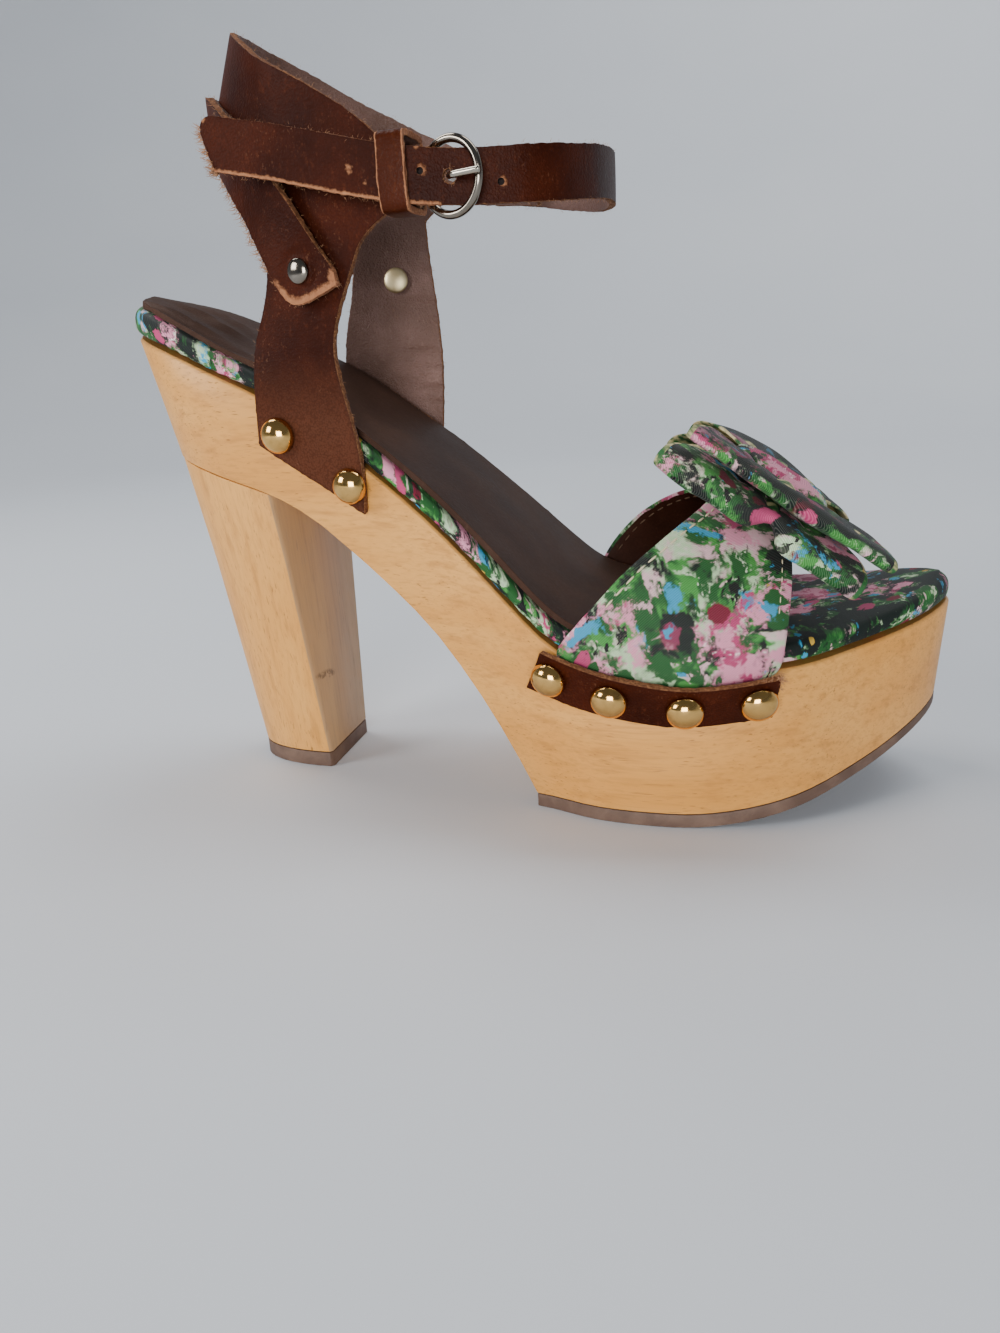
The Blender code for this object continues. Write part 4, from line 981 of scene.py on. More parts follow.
def make_leather(node, middle, levels, side="grain"):
    shape = paint_sides(copy_of(node), middle)
    finishes = [leathers[side], leathers["flesh"], raw_edge]
    piece = make_piece(shape, node + "_leather", finishes, HIDE_EASE, levels)
    points = points_of(piece)
    normals = normals_of(piece)
    points += normals * wobble(points, *HIDE_WAVE)[:, None]
    press_round_rivets(points, normals)
    fold = 0.0
    if node == "ankle_collar":
        paint_light_on_quarters(piece, points, normals)
        fold = crease_quarter(points)
    move_points(piece, points)
    # deeper creases get more painted shade
    age_leather(piece, HIDE_REACH, HIDE_ROUGH, fold / (CREASE_SHADE_DEPTH * MM))
    return stand_for(piece, "leather", node)


ankle_collar = make_leather("ankle_collar", ANKLE_MIDDLE, 3)
heel_strap = make_leather("heel_strap", ANKLE_MIDDLE, 3)
ankle_strap = make_leather("ankle_strap", ANKLE_MIDDLE, 3)
keeper = make_leather("keeper", KEEPER_MIDDLE, 3, "keeper")
strips = [make_leather("strip_" + side, FOREFOOT_MIDDLE, 2) for side in ("lateral", "medial")]

# %% [markdown]
# The free end of the buckled strap was cut at a slant and its upper corner is worn round. Points of
# the mesh that lie outside a small circle in that corner are pulled onto it.

# %% Round tip of the strap
TIP_CORNER = np.array([-64.8, -37.2, 174.45])
TIP_ALONG = np.array([0.973, -0.114, -0.200])
TIP_DOWN = np.array([0.258, -0.030, -0.966])
TIP_RADIUS = 2.8
TIP_NEAR = 2.0        # points further off than this share of the arc's reach stay


def round_tip(piece):
    """Pull the corner between the two edges of the tip onto an arc."""
    half = math.acos(TIP_ALONG @ TIP_DOWN) / 2
    bisector = (TIP_ALONG + TIP_DOWN) / (2 * math.cos(half))
    centre = TIP_CORNER + bisector * TIP_RADIUS / math.sin(half)
    reach = TIP_RADIUS / math.tan(half)
    across = np.cross(TIP_ALONG, TIP_DOWN)
    plane = np.column_stack([TIP_ALONG, TIP_DOWN, across / np.linalg.norm(across)])
    points = points_of(piece) / MM
    parts = np.linalg.solve(plane, (points - TIP_CORNER).T).T
    flat = (points - centre) - parts[:, 2:] * plane[:, 2]
    far = np.linalg.norm(flat, axis=1)
    corner = (parts[:, 0] < reach) & (parts[:, 1] < reach) & (far > TIP_RADIUS)
    corner &= np.linalg.norm(points - TIP_CORNER, axis=1) < TIP_NEAR * reach
    points[corner] -= flat[corner] * (1.0 - TIP_RADIUS / far[corner])[:, None]
    move_points(piece, points * MM)
    print("points rounded at the tip:", int(corner.sum()))


round_tip(ankle_strap)

# %% [markdown]
# Two more holes of the strap show beside the buckle. They are cut with a Boolean, because a hole has
# depth that paint alone would not give; they are blind, and their inside is painted near black as
# shade. Each cutter stands where a ray from the outer side meets the strap.

# %% Holes of the strap
HOLE_RADIUS = 0.75
HOLE_DEPTH = 1.1
HOLE_SIDES = 20
HOLE = 3              # material slot of the inside of a hole, painted near black as shade
HOLES = ((-11.6, 157.9), (5.2, 154.9))      # along the shoe and up
OUTER_SIDE = -80.0    # a place well off the outer side of the shoe


def paint_hole():
    paint = Paint("inside of a hole")
    # near black inside: painted shade in the blind hole
    dust = paint.noise(paint.place(), 1500.0, 2.0)
    return paint.finish(Base_Color=paint.mix(dust, tone("0A0402"), tone("1E0C06")), Roughness=0.9)


def punch(piece, holes):
    """Press round blind holes into the side of the strap that faces away from the foot."""
    surface = surface_of(piece)
    cutters = bmesh.new()
    for x, z in holes:
        face = surface.ray_cast(Vector((x, OUTER_SIDE, z)) * MM, Vector((0.0, 1.0, 0.0)))[0]
        place = Matrix.Translation(face) @ Matrix.Rotation(math.pi / 2, 4, "X")
        bmesh.ops.create_cone(cutters, cap_ends=True, segments=HOLE_SIDES, radius1=HOLE_RADIUS * MM,
                              radius2=HOLE_RADIUS * MM, depth=2.0 * HOLE_DEPTH * MM, matrix=place)
    for face in cutters.faces:
        face.material_index = HOLE
    mesh = bpy.data.meshes.new("hole_cutter")
    cutters.to_mesh(mesh)
    cutters.free()
    piece.data.materials.append(paint_hole())
    for finish in piece.data.materials:
        mesh.materials.append(finish)
    cutter = bpy.data.objects.new("hole_cutter", mesh)
    scene.collection.objects.link(cutter)
    cut = piece.modifiers.new("holes", "BOOLEAN")
    cut.operation = "DIFFERENCE"
    cut.solver = "EXACT"
    cut.object = cutter
    settle(piece)
    bpy.data.objects.remove(cutter)
    print("strap faces with holes:", len(piece.data.polygons))


punch(ankle_strap, HOLES)

# %% [markdown]
# Some edges have lost their grain: the lower edge of the buckled strap, the end of the heel strap and
# both edges of the keeper. An attribute marks a narrow bare band there, and a few torn spots where the
# strap was buckled before. The paint then shows pale fibres with a ragged border.

# %% Bare edges and torn spots
TORN_MOST = 0.62
TORN_SPOTS = (
    # along the shoe, up and radius in millimetres
    (-27.5, 159.5, 1.6),
    (-24.0, 156.6, 0.9),
    (-11.2, 158.0, 1.8),
    (5.6, 155.0, 1.6),
)
OTHER_SIDE = 50.0     # added to the distance of points on the inner side, which stay whole
STRAP_BARE = 1.3      # widths of the bare bands
END_BARE = 3.2
KEEPER_BARE = 0.6
BARE_END = -8.0       # the lower edge is bare from the tip to here
DOWN = Vector((0.0, 0.0, -1.0))
FREE_DROP = 15.0      # an edge is the lowest one if nothing lies within this distance under it
FREE_START = 0.5
END_WAY = (0.35, 0.0, -0.94)
END_SIDE = -20.0      # the end of the heel strap lies outwards of this and below this height
END_HEIGHT = 139.0


def bare_band(piece, edge, width, spots=()):
    """Mark the outer face near an edge, and round spots, as bare of grain."""
    points = points_of(piece)
    bare = np.clip(1.0 - distance_to(points, points[edge]) / width, 0.0, 1.0)
    for x, z, radius in spots:
        away = np.hypot(points[:, 0] / MM - x, points[:, 2] / MM - z) + OTHER_SIDE * (points[:, 1] > 0)
        bare = np.maximum(bare, np.clip(1.1 - away / radius, 0.0, TORN_MOST))
    set_attribute(piece, "raw", bare)


def edge_facing(piece, way, least=0.5):
    """Points of the cut edge that face a direction."""
    edge = np.array(edge_points(piece))
    return edge[normals_of(piece)[edge] @ np.array(way) > least]


def lowest_of(piece, edge):
    """Only those points of an edge that have nothing of the piece under them."""
    surface = surface_of(piece)
    points = points_of(piece)
    step = DOWN * FREE_START * MM
    under = [surface.ray_cast(Vector(points[i]) + step, DOWN, FREE_DROP * MM)[0] for i in edge]
    return np.array([i for i, spot in zip(edge, under) if spot is None])


low_edge = lowest_of(ankle_strap, edge_facing(ankle_strap, DOWN))
low_edge = low_edge[points_of(ankle_strap)[low_edge][:, 0] < BARE_END * MM]
bare_band(ankle_strap, low_edge, STRAP_BARE, TORN_SPOTS)
strap_end = edge_facing(heel_strap, END_WAY, 0.35)
spots = points_of(heel_strap)[strap_end]
strap_end = strap_end[(spots[:, 1] < END_SIDE * MM) & (spots[:, 2] < END_HEIGHT * MM)]
bare_band(heel_strap, strap_end, END_BARE)
bare_band(keeper, edge_points(keeper), KEEPER_BARE)
print("bare edge points:", len(low_edge), "on the strap and", len(strap_end), "on the heel strap")

# %% [markdown]
# ## Vamp
# The vamp is cloth outside and leather inside, sewn together near its rear and front edge. Cloth on
# a stiff lining hardly drapes, so the arch of the solid with small waves is enough and no simulation
# is needed. The cloth's own coordinates run along the foot and round the arch.

# %% Vamp
ARCH_MIDDLE = Vector((37.0, 1.6, 44.0)) * MM
ARCH_RADIUS = 36.0 * MM
VAMP_DARK = 0.50
VAMP_WAVE = (16.0, 0.35, 3)


def cloth_round_arch(points):
    turn = np.arctan2(points[:, 1] - ARCH_MIDDLE.y, points[:, 2] - ARCH_MIDDLE.z)
    return np.column_stack([points[:, 0], -turn * ARCH_RADIUS, np.zeros(len(points))])


def make_vamp():
    shape = paint_sides(copy_of("vamp"), ARCH_MIDDLE / MM)
    piece = make_piece(shape, "vamp_cloth", [cloth_vamp, leathers["lining"], cloth_vamp], 0.0, 3)
    points = points_of(piece)
    points += normals_of(piece) * wobble(points, *VAMP_WAVE)[:, None]
    move_points(piece, points)
    set_attribute(piece, "cloth", cloth_round_arch(points))
    set_attribute(piece, "dark", np.full(len(points), VAMP_DARK))
    return stand_for(piece, "fabric", "vamp")


vamp = make_vamp()

# %% [markdown]
# ## Bow
# The bow is two ribbon rings, one on the other, pinched by a knot. Seen from the side of the shoe
# their outer folds look like two soft rolls. A cloth simulation would give other creases than the
# real ones, so the shape is given in the bow's own sizes: reach to the side, across along the
# shoe, and up. The long edges of the ribbon are hemmed and paler.

# %% Frame and hem of the bow
BOW_MIDDLE = Vector((65.85, 1.6, 82.8)) * MM
BOW_SLOPE = math.radians(35.0)
BOW_REACH = 37.0
BOW_ACROSS = np.array([math.cos(BOW_SLOPE), 0.0, -math.sin(BOW_SLOPE)])
BOW_UP = np.array([math.sin(BOW_SLOPE), 0.0, math.cos(BOW_SLOPE)])
BOW_BEND = 6.0        # the print turns round the folds over this reach
BOW_DARK = 0.90       # share of dark leaves, and how many more there are on top, where shade is painted as well
TOP_LEAVES_AND_SHADE = 1.0


def paint_hem():
    paint = Paint("hem of the ribbon")
    stain = paint.ramp(paint.noise(paint.place(), 240.0, 3.0), 0.40, 0.62)
    return paint.finish(Base_Color=paint.mix(stain, LEAF, tone("C9B98A")), Roughness=0.75)


def bow_frame(points):
    """Reach, across and up of each point in millimetres."""
    away = (points - np.array(BOW_MIDDLE)) / MM
    return away[:, 1], away @ BOW_ACROSS, away @ BOW_UP


def cloth_of_bow(points, turn):
    """Place of each point on the flat ribbon; the turn gives each ribbon another part of the print."""
    reach, across, up = bow_frame(points)
    round_fold = reach - np.tanh(reach / BOW_BEND) * up
    return np.column_stack([across + turn, round_fold - turn, 0.5 * up]) * MM


hem = paint_hem()
print("reach of the bow to each side in mm:", BOW_REACH)

# %% [markdown]
# The knot pulls creases out to the folds as soft troughs, and each fold dips where the middle crease
# meets it. The middle of the bow is pressed flat, and the far wing arches up and hangs at its corners.
# On the near side the lower fold is bent and pinched in its middle, hangs fuller beside it, and leaves
# a dark gap under the upper fold.

# %% Creases and lift of the bow
KNOT_HALF = 8.0       # reach at which the creases start, beside the knot
BOW_CREASES = (
    # across at the fold, depth, half width at the fold, all in millimetres
    (0.0, 1.7, 4.0),
    (13.0, 0.9, 3.2),
    (-15.0, 0.9, 3.4),
    (24.0, 0.5, 2.4),
    (-25.0, 0.5, 2.4),
)
CREASE_START = 1.2    # half width of a crease beside the knot
CREASE_FAN = 0.35     # share of its place across that a crease has beside the knot
CREASE_RUN = 1.15     # above 1, so that a crease ends a little before the fold
FOLD_DIP = 3.0
DIP_WIDTH = 5.0
KNOT_PRESS = 0.30     # share of its height that the middle of the bow loses
PRESS_WIDTH = 11.0
FAR_CROWN = 3.0       # the far wing arches up in its middle
FAR_DROOP = 7.5       # and its corners hang by this much below that
FAR_HALF = 28.0       # half its width
PINCH = 0.62          # share of its height that the lower near fold loses where it is bent
PINCH_AT = 1.0
PINCH_WIDTH = 3.2
SAG = 2.8             # the lower near fold hangs fuller than the others
GAP = 1.7             # and lower, which leaves a dark line between the two folds


def share_of(reach):
    """0 beside the knot and 1 at the folds."""
    return np.clip((np.abs(reach) - KNOT_HALF) / (BOW_REACH - KNOT_HALF), 0.0, 1.0)


def crease_depth(share, across):
    sink = np.zeros(len(share))
    for at, depth, half in BOW_CREASES:
        width = CREASE_START + (half - CREASE_START) * share
        line = at * (CREASE_FAN + (1.0 - CREASE_FAN) * share)
        trough = np.exp(-((across - line) / width) ** 2)
        sink += depth * np.sin(np.pi * np.minimum(share * CREASE_RUN, 1.0)) * trough
    return sink


def lift_of_bow(reach, across, up):
    """The middle is pressed flat under the knot, and the far wing is arched."""
    middle = np.exp(-(reach / PRESS_WIDTH) ** 2)
    far = np.clip(reach / BOW_REACH, 0.0, 1.0) ** 1.2
    arch = far * (FAR_CROWN - FAR_DROOP * (across / FAR_HALF) ** 2)
    return (arch - KNOT_PRESS * up * middle) * MM


def lift_of_near_fold(reach, across, up, facing):
    """The lower near fold is pinched where it is bent, and hangs elsewhere."""
    near = share_of(reach) * (reach < 0)
    pinch = PINCH * near * np.exp(-((across - PINCH_AT) / PINCH_WIDTH) ** 2)
    lift = (up[near > 0.5].max() - up) * pinch
    sag = SAG * near * (1.0 - facing) / 2 * (1.0 - pinch)
    return (lift - sag - GAP * near) * MM


print("creases of each ribbon ring:", len(BOW_CREASES))

# %% [markdown]
# Each ring starts from its solid and takes on the creases, the dip, small waves and the lift, in that
# order. The upper ring's print has more dark leaves and painted shade on top.

# %% Ribbon rings
RIM = 1               # material slot of the ribbon's long edges
BOW_WAVE = (11.0, 0.7)
RING_TURN = 90.0


def make_bow_loop(node, seed):
    shape = copy_of(node)
    for side in sides_of(shape)[2:]:
        for face in side:
            face.material_index = RIM
    piece = make_piece(shape, node + "_cloth", [cloth_bow, hem], 0.0, 3)
    points = points_of(piece)
    normals = normals_of(piece)
    facing = normals @ BOW_UP
    reach, across, up = bow_frame(points)
    share = share_of(reach)
    points -= normals * (crease_depth(share, across) * MM)[:, None]
    dip = FOLD_DIP * share ** 4 * np.exp(-(across / DIP_WIDTH) ** 2)
    points[:, 1] -= np.sign(reach) * dip * MM
    points += normals * wobble(points, *BOW_WAVE, seed)[:, None]
    points += np.outer(lift_of_bow(reach, across, up), BOW_UP)
    # painted shade and more dark leaves where the upper ring faces up; the lower ring gets neither
    dark = BOW_DARK + TOP_LEAVES_AND_SHADE * np.clip(facing, 0.0, 1.0) ** 2
    if node.endswith("lower"):
        dark[:] = BOW_DARK
        points += np.outer(lift_of_near_fold(reach, across, up, facing), BOW_UP)
    move_points(piece, points)
    set_attribute(piece, "cloth", cloth_of_bow(points, RING_TURN * seed))
    set_attribute(piece, "dark", dark)
    return stand_for(piece, "fabric", node)


make_bow_loop("bow_loop_lower", 1)
make_bow_loop("bow_loop_upper", 2)

# %% [markdown]
# The knot is a short band round the middle. Two waves of unlike pitch make its pleats, so that they
# do not look like a comb, and its rims close round the ribbon.

# %% Knot
KNOT_PLEATS = ((0.35, 4.6, 0.0), (0.25, 2.9, 1.0))      # height, pitch and start
KNOT_WAVE = (8.0, 0.5, 9)
KNOT_DRAW = 0.45      # how far the rims of the knot close round the ribbon
KNOT_RIM = 4.0        # the rims start at this reach and are as wide
KNOT_TURN = 40.0


def make_knot():
    piece = make_piece(copy_of("bow_knot"), "bow_knot_cloth", [cloth_bow], 0.4, 3)
    points = points_of(piece)
    normals = normals_of(piece)
    reach, across, up = bow_frame(points)
    pleat = sum(high * np.cos(reach * 2 * math.pi / pitch + start)
                for high, pitch, start in KNOT_PLEATS)
    points += normals * (pleat * MM)[:, None]
    points += normals * wobble(points, *KNOT_WAVE)[:, None]
    draw_in = KNOT_DRAW * np.clip((np.abs(reach) - KNOT_RIM) / KNOT_RIM, 0.0, 1.0) ** 1.5
    points -= np.outer(up * draw_in * MM, BOW_UP)
    points -= np.outer(across * draw_in * 0.5 * MM, BOW_ACROSS)
    points += np.outer(lift_of_bow(reach, across, up), BOW_UP)
    move_points(piece, points)
    set_attribute(piece, "cloth", cloth_of_bow(points, KNOT_TURN))
    set_attribute(piece, "dark", np.full(len(points), BOW_DARK))
    return stand_for(piece, "fabric", "bow_knot")


make_knot()

# %% [markdown]
# ## Studs and rivets
# What repeats on the shoe is made by geometry trees: caps, stitches and fibres. A small class holds a
# tree with named inputs, runs it on a mesh of points and keeps the result as a plain piece.

# %% Geometry trees
class Tree(Nodes):
    """A geometry tree with named inputs."""

    def __init__(self, name):
        self.tree = bpy.data.node_groups.new(name, "GeometryNodeTree")
        self.sizes = {}
        self.tree.interface.new_socket("Geometry", in_out="INPUT", socket_type="NodeSocketGeometry")
        self.tree.interface.new_socket("Geometry", in_out="OUTPUT", socket_type="NodeSocketGeometry")
        self.start = self.tree.nodes.new("NodeGroupInput")
        self.end = self.tree.nodes.new("NodeGroupOutput")

    def geometry(self):
        return Value(self, self.start.outputs["Geometry"])

    def size(self, name, kind="Float"):
        """A named input of the tree."""
        made = self.tree.interface.new_socket(name, in_out="INPUT", socket_type="NodeSocket" + kind)
        self.sizes[name] = made.identifier
        return Value(self, self.start.outputs[name])

    def finish(self, shape, material):
        real = self.node("GeometryNodeRealizeInstances", Geometry=shape)
        done = self.node("GeometryNodeSetMaterial", Geometry=real, Material=material)
        self.tree.links.new(done.socket, self.end.inputs["Geometry"])
        return self

    def run(self, mesh, name, **sizes):
        """The tree's result on a mesh, as a plain object."""
        piece = bpy.data.objects.new(name, mesh)
        scene.collection.objects.link(piece)
        modifier = piece.modifiers.new("tree", "NODES")
        modifier.node_group = self.tree
        for size, value in sizes.items():
            modifier[self.sizes[size]] = value
        settle(piece)
        piece.data.shade_smooth()
        return piece


def points_mesh(name, points, facings=None, edges=()):
    mesh = bpy.data.meshes.new(name)
    mesh.from_pydata([tuple(p) for p in points], list(edges), [])
    if facings is not None:
        made = mesh.attributes.new("facing", "FLOAT_VECTOR", "POINT")
        made.data.foreach_set("vector", np.array(facings, np.float32).ravel())
    return mesh


print("geometry trees are run on meshes of points")

# %% [markdown]
# Twelve dome studs and four rivet caps repeat one shape: a sphere whose lower half is pressed flat
# becomes a cap, and one cap is set on each point along the way that the leather faces there. The
# points and their directions are read from the solids.

# %% Caps
STUD_RADIUS = 4.7
INNER_CAP = 3.6
OUTER_CAP = 2.9


def cap_tree(name, material):
    tree = Tree(name)
    radius = tree.size("radius")
    height = tree.size("height")
    ball = tree.node("GeometryNodeMeshUVSphere", Segments=40, Rings=24, Radius=1.0)
    spot = tree.node("GeometryNodeInputPosition")
    parts = [tree.node("ShaderNodeSeparateXYZ", None, i, Vector=spot) for i in range(3)]
    flat = tree.node("ShaderNodeMath", {"operation": "MAXIMUM"}, Value=parts[2], Value_001=0.0)
    pressed = tree.node("ShaderNodeCombineXYZ", X=parts[0] * radius, Y=parts[1] * radius, Z=flat * height)
    cap = tree.node("GeometryNodeSetPosition", Geometry=ball, Position=pressed)
    facing = tree.node("GeometryNodeInputNamedAttribute", {"data_type": "FLOAT_VECTOR"}, Name="facing")
    turn = tree.node("FunctionNodeAlignRotationToVector", {"axis": "Z"}, Vector=facing)
    caps = tree.node("GeometryNodeInstanceOnPoints", Points=tree.geometry(), Instance=cap, Rotation=turn)
    return tree.finish(caps, material)


def thin_way(points):
    """The direction in which points round a middle reach least."""
    return np.linalg.eigh(np.cov(points.T))[1][:, 0]


def seat_of(node):
    """Middle of a cap's flat side, the way it faces and its height."""
    points = np.unique(np.round([tuple(v.co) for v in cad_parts[node].data.vertices], 7), axis=0)
    middle = points.mean(0)
    way = thin_way(points - middle)
    outwards = np.sign(middle[1] - ARCH_MIDDLE.y) * (-1 if node.endswith("inner") else 1)
    way = way * outwards * np.sign(way[1])
    heights = (points - middle) @ way
    return middle + way * heights.min(), way, heights.max() - heights.min()


def make_caps(name, slot, material, radius, prefix, suffix=""):
    nodes = sorted(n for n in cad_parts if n.startswith(prefix) and n.endswith(suffix))
    seats = [seat_of(node) for node in nodes]
    mesh = points_mesh(name, [s[0] for s in seats], [s[1] for s in seats])
    height = float(np.mean([s[2] for s in seats]))
    piece = cap_tree(name + " tree", material).run(mesh, name, radius=radius * MM, height=height)
    return stand_for(piece, slot, *nodes)


make_caps("dome_studs", "gold", gold, STUD_RADIUS, "stud_")
make_caps("rivet_caps_inside", "gold", gold_satin, INNER_CAP, "rivet_", "_inner")
make_caps("rivet_caps_outside", "nickel", nickel_painted_dark, OUTER_CAP, "rivet_", "_outer")

# %% [markdown]
# ## Buckle
# The buckle is a ring of round wire. The tree bends a circle into a tube, and the solid's own middle
# and flat direction say where the ring stands. The prong is a bent wire, made smooth from its solid.

# %% Ring and prong
def make_ring():
    points = np.array([tuple(v.co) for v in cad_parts["buckle_ring"].data.vertices])
    middle = (points.max(0) + points.min(0)) / 2
    from_middle = np.linalg.norm(points - middle, axis=1)
    wire = (from_middle.max() - from_middle.min()) / 2
    tree = Tree("ring tree")
    circle = tree.node("GeometryNodeCurvePrimitiveCircle", Resolution=96, Radius=tree.size("radius"))
    profile = tree.node("GeometryNodeCurvePrimitiveCircle", Resolution=20, Radius=tree.size("wire"))
    tube = tree.node("GeometryNodeCurveToMesh", Curve=circle, Profile_Curve=profile)
    tree.finish(tube, nickel_painted_dark)
    piece = tree.run(points_mesh("buckle_ring_wire", []), "buckle_ring_wire",
                     radius=float(from_middle.min() + wire), wire=float(wire))
    turn = Vector(thin_way(points - middle)).to_track_quat("Z", "Y").to_matrix().to_4x4()
    piece.data.transform(Matrix.Translation(middle) @ turn)
    return stand_for(piece, "nickel", "buckle_ring")


make_ring()
prong = make_piece(copy_of("buckle_prong"), "buckle_prong_wire", [nickel], 0.25, 2)
stand_for(prong, "nickel", "buckle_prong")

# %% [markdown]
# ## Seams
# A cream seam holds cloth and lining together a few millimetres inside the rear edge of the vamp,
# and a finer one runs inside the front edge. Rays shot at the vamp find its edge at each angle round
# the arch. The tree then lays short dashes along the path at an even pitch.

# %% Stitches on the vamp
RAY_START = 60.0 * MM
SEAM_LIFT = 0.10 * MM
SEAM_TURNS = [math.radians(a) for a in np.arange(22.0, 158.1, 1.5)]
REAR_START = 5.0      # the search for an edge starts off the vamp, behind it or before it
FRONT_START = 72.0
FRONT_LIMIT = 75.0
SEAMS = (
    # name, thread, search step, distance from the edge, outside; pitch, length, thickness of a stitch
    ("seam_rear", thread, 0.2, 3.2, True, 3.6, 2.8, 0.50),
    ("seam_lining", thread_brown, 0.2, 3.2, False, 3.6, 2.4, 0.45),
    ("seam_front", thread, -0.2, 2.4, True, 2.6, 1.7, 0.28),
)


def stitch_tree(material):
    tree = Tree("stitch tree")
    path = tree.node("GeometryNodeMeshToCurve", Mesh=tree.geometry())
    pitch = tree.size("pitch")
    beads = tree.node("GeometryNodeResampleCurve", {"mode": "LENGTH"}, Curve=path, Length=pitch)
    ahead = tree.node("GeometryNodeInputTangent")
    turn = tree.node("FunctionNodeAlignRotationToVector", {"axis": "X"}, Vector=ahead)
    ball = tree.node("GeometryNodeMeshUVSphere", Segments=10, Rings=8, Radius=0.5)
    thick = tree.size("thick")
    sizes = tree.node("ShaderNodeCombineXYZ", X=tree.size("length"), Y=thick, Z=thick)
    dash = tree.node("GeometryNodeTransform", Geometry=ball, Scale=sizes)
    dashes = tree.node("GeometryNodeInstanceOnPoints", Points=beads, Instance=dash, Rotation=turn)
    return tree.finish(dashes, material)


def arch_axis(x):
    return Vector((x, ARCH_MIDDLE.y, ARCH_MIDDLE.z))


def find_edge(surface, way, step):
    """Walk along the shoe until a ray from outside meets the vamp."""
    x = (REAR_START if step > 0 else FRONT_START) * MM
    hit = None
    while hit is None and 0.0 < x < FRONT_LIMIT * MM:
        x += step * MM
        hit = surface.ray_cast(arch_axis(x) + way * RAY_START, -way)[0]
    return x


def seam_path(surface, step, inside, outer):
    """Points a little inside the edge of the vamp, rear edge for a step above 0, front edge below."""
    path = []
    for turn in SEAM_TURNS:
        way = Vector((0.0, math.cos(turn), math.sin(turn)))
        axis = arch_axis(find_edge(surface, way, step) + math.copysign(inside * MM, step))
        start, ahead = (axis + way * RAY_START, -way) if outer else (axis, way)
        spot, normal = surface.ray_cast(start, ahead)[:2]
        if spot is not None:
            path.append(spot + normal.normalized() * SEAM_LIFT)
    return path


def make_seams():
    surface = surface_of(vamp)
    for name, material, step, inside, outer, pitch, length, thick in SEAMS:
        path = seam_path(surface, step, inside, outer)
        mesh = points_mesh(name, path, None, [(i, i + 1) for i in range(len(path) - 1)])
        tree = stitch_tree(material)
        seam = tree.run(mesh, name, pitch=pitch * MM, length=length * MM, thick=thick * MM)
        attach(seam, "root")
        print(name, "path points:", len(path), "faces:", len(seam.data.polygons))


make_seams()

# %% [markdown]
# ## Frayed leather
# Loose fibres stand out from the cut edges: a short fuzz almost everywhere, and longer tufts on the
# rear edge of the strap's tip and under the heel strap. Each fibre is a thin bent cone set on a point
# of the cut edge, with its own length and lean from a fixed seed.

# %% A geometry tree for fibres
FIBRE_THICK = 0.055   # share of its length
FIBRE_BEND = 0.35
FIBRE_SEED = 11
FIBRE_LEAN = 0.7
FIBRE_SPREAD = 0.5


def paint_fibre():
    paint = Paint("leather fibre")
    shade = paint.noise(paint.place(), 500.0, 2.0)
    return paint.finish(Base_Color=paint.mix(shade, RAW_DEEP, tone("C99A70")), Roughness=0.9)


def fibre_tree(material):
    tree = Tree("fibre tree")
    cone = tree.node("GeometryNodeMeshCone", {"fill_type": "NONE"}, Vertices=4, Side_Segments=3,
                     Radius_Top=0.2, Radius_Bottom=1.0, Depth=1.0)
    spot = tree.node("GeometryNodeInputPosition")
    parts = [tree.node("ShaderNodeSeparateXYZ", None, i, Vector=spot) for i in range(3)]
    thick = tree.size("thick")
    bent = tree.node("ShaderNodeCombineXYZ", X=parts[0] * thick + parts[2] * parts[2] * FIBRE_BEND,
                     Y=parts[1] * thick, Z=parts[2])
    strand = tree.node("GeometryNodeSetPosition", Geometry=cone, Position=bent)
    facing = tree.node("GeometryNodeInputNamedAttribute", {"data_type": "FLOAT_VECTOR"}, Name="facing")
    turn = tree.node("FunctionNodeAlignRotationToVector", {"axis": "Z"}, Vector=facing)
    length = tree.node("FunctionNodeRandomValue", None, 1, Min_001=tree.size("shortest"),
                       Max_001=tree.size("longest"), Seed=FIBRE_SEED)
    fibres = tree.node("GeometryNodeInstanceOnPoints", Points=tree.geometry(), Instance=strand,
                       Rotation=turn, Scale=length)
    return tree.finish(fibres, material)


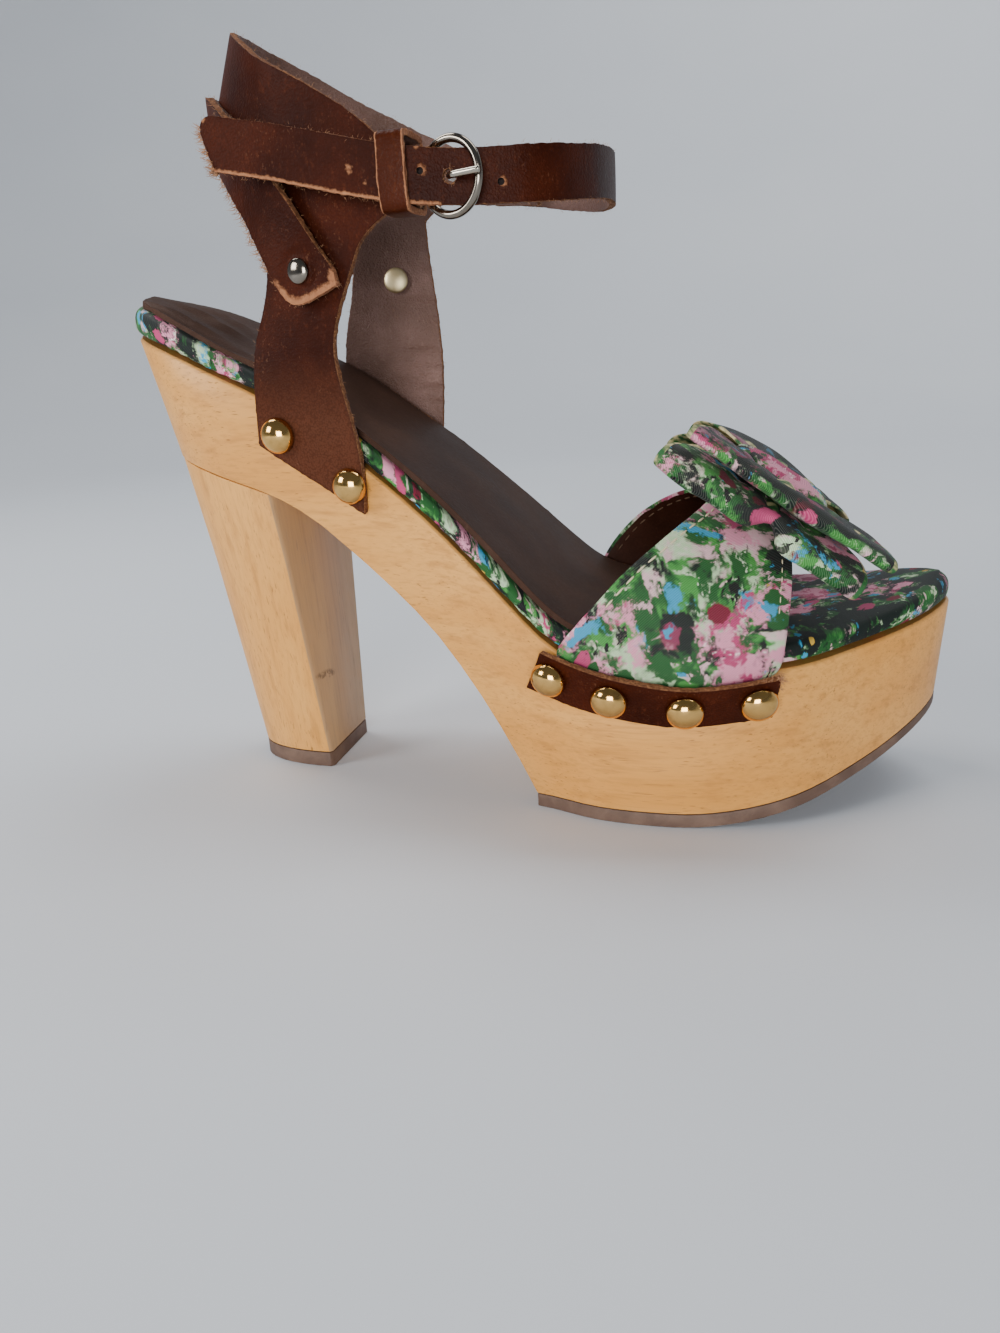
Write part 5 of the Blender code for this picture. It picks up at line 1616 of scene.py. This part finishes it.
def fray(tree, name, piece, where, count, shortest, longest):
    """Fibres on random points of the cut edge of a leather piece."""
    dice = random.Random(name)
    points = points_of(piece)
    normals = normals_of(piece)
    spots, facings = [], []
    for _ in range(count):
        index = dice.choice(where)
        lean = Vector([dice.uniform(-FIBRE_LEAN, FIBRE_LEAN) for _ in range(3)])
        shift = Vector([dice.uniform(-FIBRE_SPREAD, FIBRE_SPREAD) * MM for _ in range(3)])
        spots.append(Vector(points[index]) + shift)
        facings.append((Vector(normals[index]) + lean).normalized())
    mesh = points_mesh(name, spots, facings)
    tuft = tree.run(mesh, name, thick=FIBRE_THICK, shortest=shortest * MM, longest=longest * MM)
    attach(tuft, "root")
    print(name, "fibres:", count)


fibres = fibre_tree(paint_fibre())
print("fibre inputs:", ", ".join(fibres.sizes))

# %% [markdown]
# The fuzz goes on all cut edges of three pieces. The tufts go where the real leather is torn: under
# the heel strap, on the front corner of the outer strip and on the rear edge of the strap's tip.

# %% Fuzz and tufts
FUZZ = ((ankle_collar, 900), (heel_strap, 450), (ankle_strap, 600))
FUZZ_LENGTHS = (0.35, 0.9)
HEEL_SIDE = -15.0     # the tuft under the heel strap is outwards of this and above this height
HEEL_LOW = 141.0
STRIP_CORNER = 107.0  # along the shoe plus up, from where the front corner of the strip starts
TIP_END = -60.0       # the tuft on the strap's tip is behind this and below this height
TIP_HIGH = 171.5


def under_heel_strap():
    edge = edge_facing(heel_strap, (-0.7, 0.0, -0.7), 0.45)
    spots = points_of(heel_strap)[edge]
    return edge[(spots[:, 1] < HEEL_SIDE * MM) & (spots[:, 2] > HEEL_LOW * MM)]


def front_of_strip():
    edge = np.array(edge_points(strips[0]))
    return edge[points_of(strips[0])[edge] @ (1.0, 0.0, 1.0) > STRIP_CORNER * MM]


def rear_of_tip():
    edge = edge_facing(ankle_strap, (-1.0, 0.0, 0.0), 0.6)
    spots = points_of(ankle_strap)[edge]
    return edge[(spots[:, 0] < TIP_END * MM) & (spots[:, 2] < TIP_HIGH * MM)]


for piece, count in FUZZ:
    fray(fibres, "fuzz_" + piece.name, piece, edge_points(piece), count, *FUZZ_LENGTHS)
fray(fibres, "tuft_heel_strap", heel_strap, under_heel_strap(), 420, 0.6, 2.2)
fray(fibres, "tuft_strip", strips[0], front_of_strip(), 140, 0.5, 1.6)
fray(fibres, "tuft_strap_tip", ankle_strap, rear_of_tip(), 240, 0.6, 2.6)
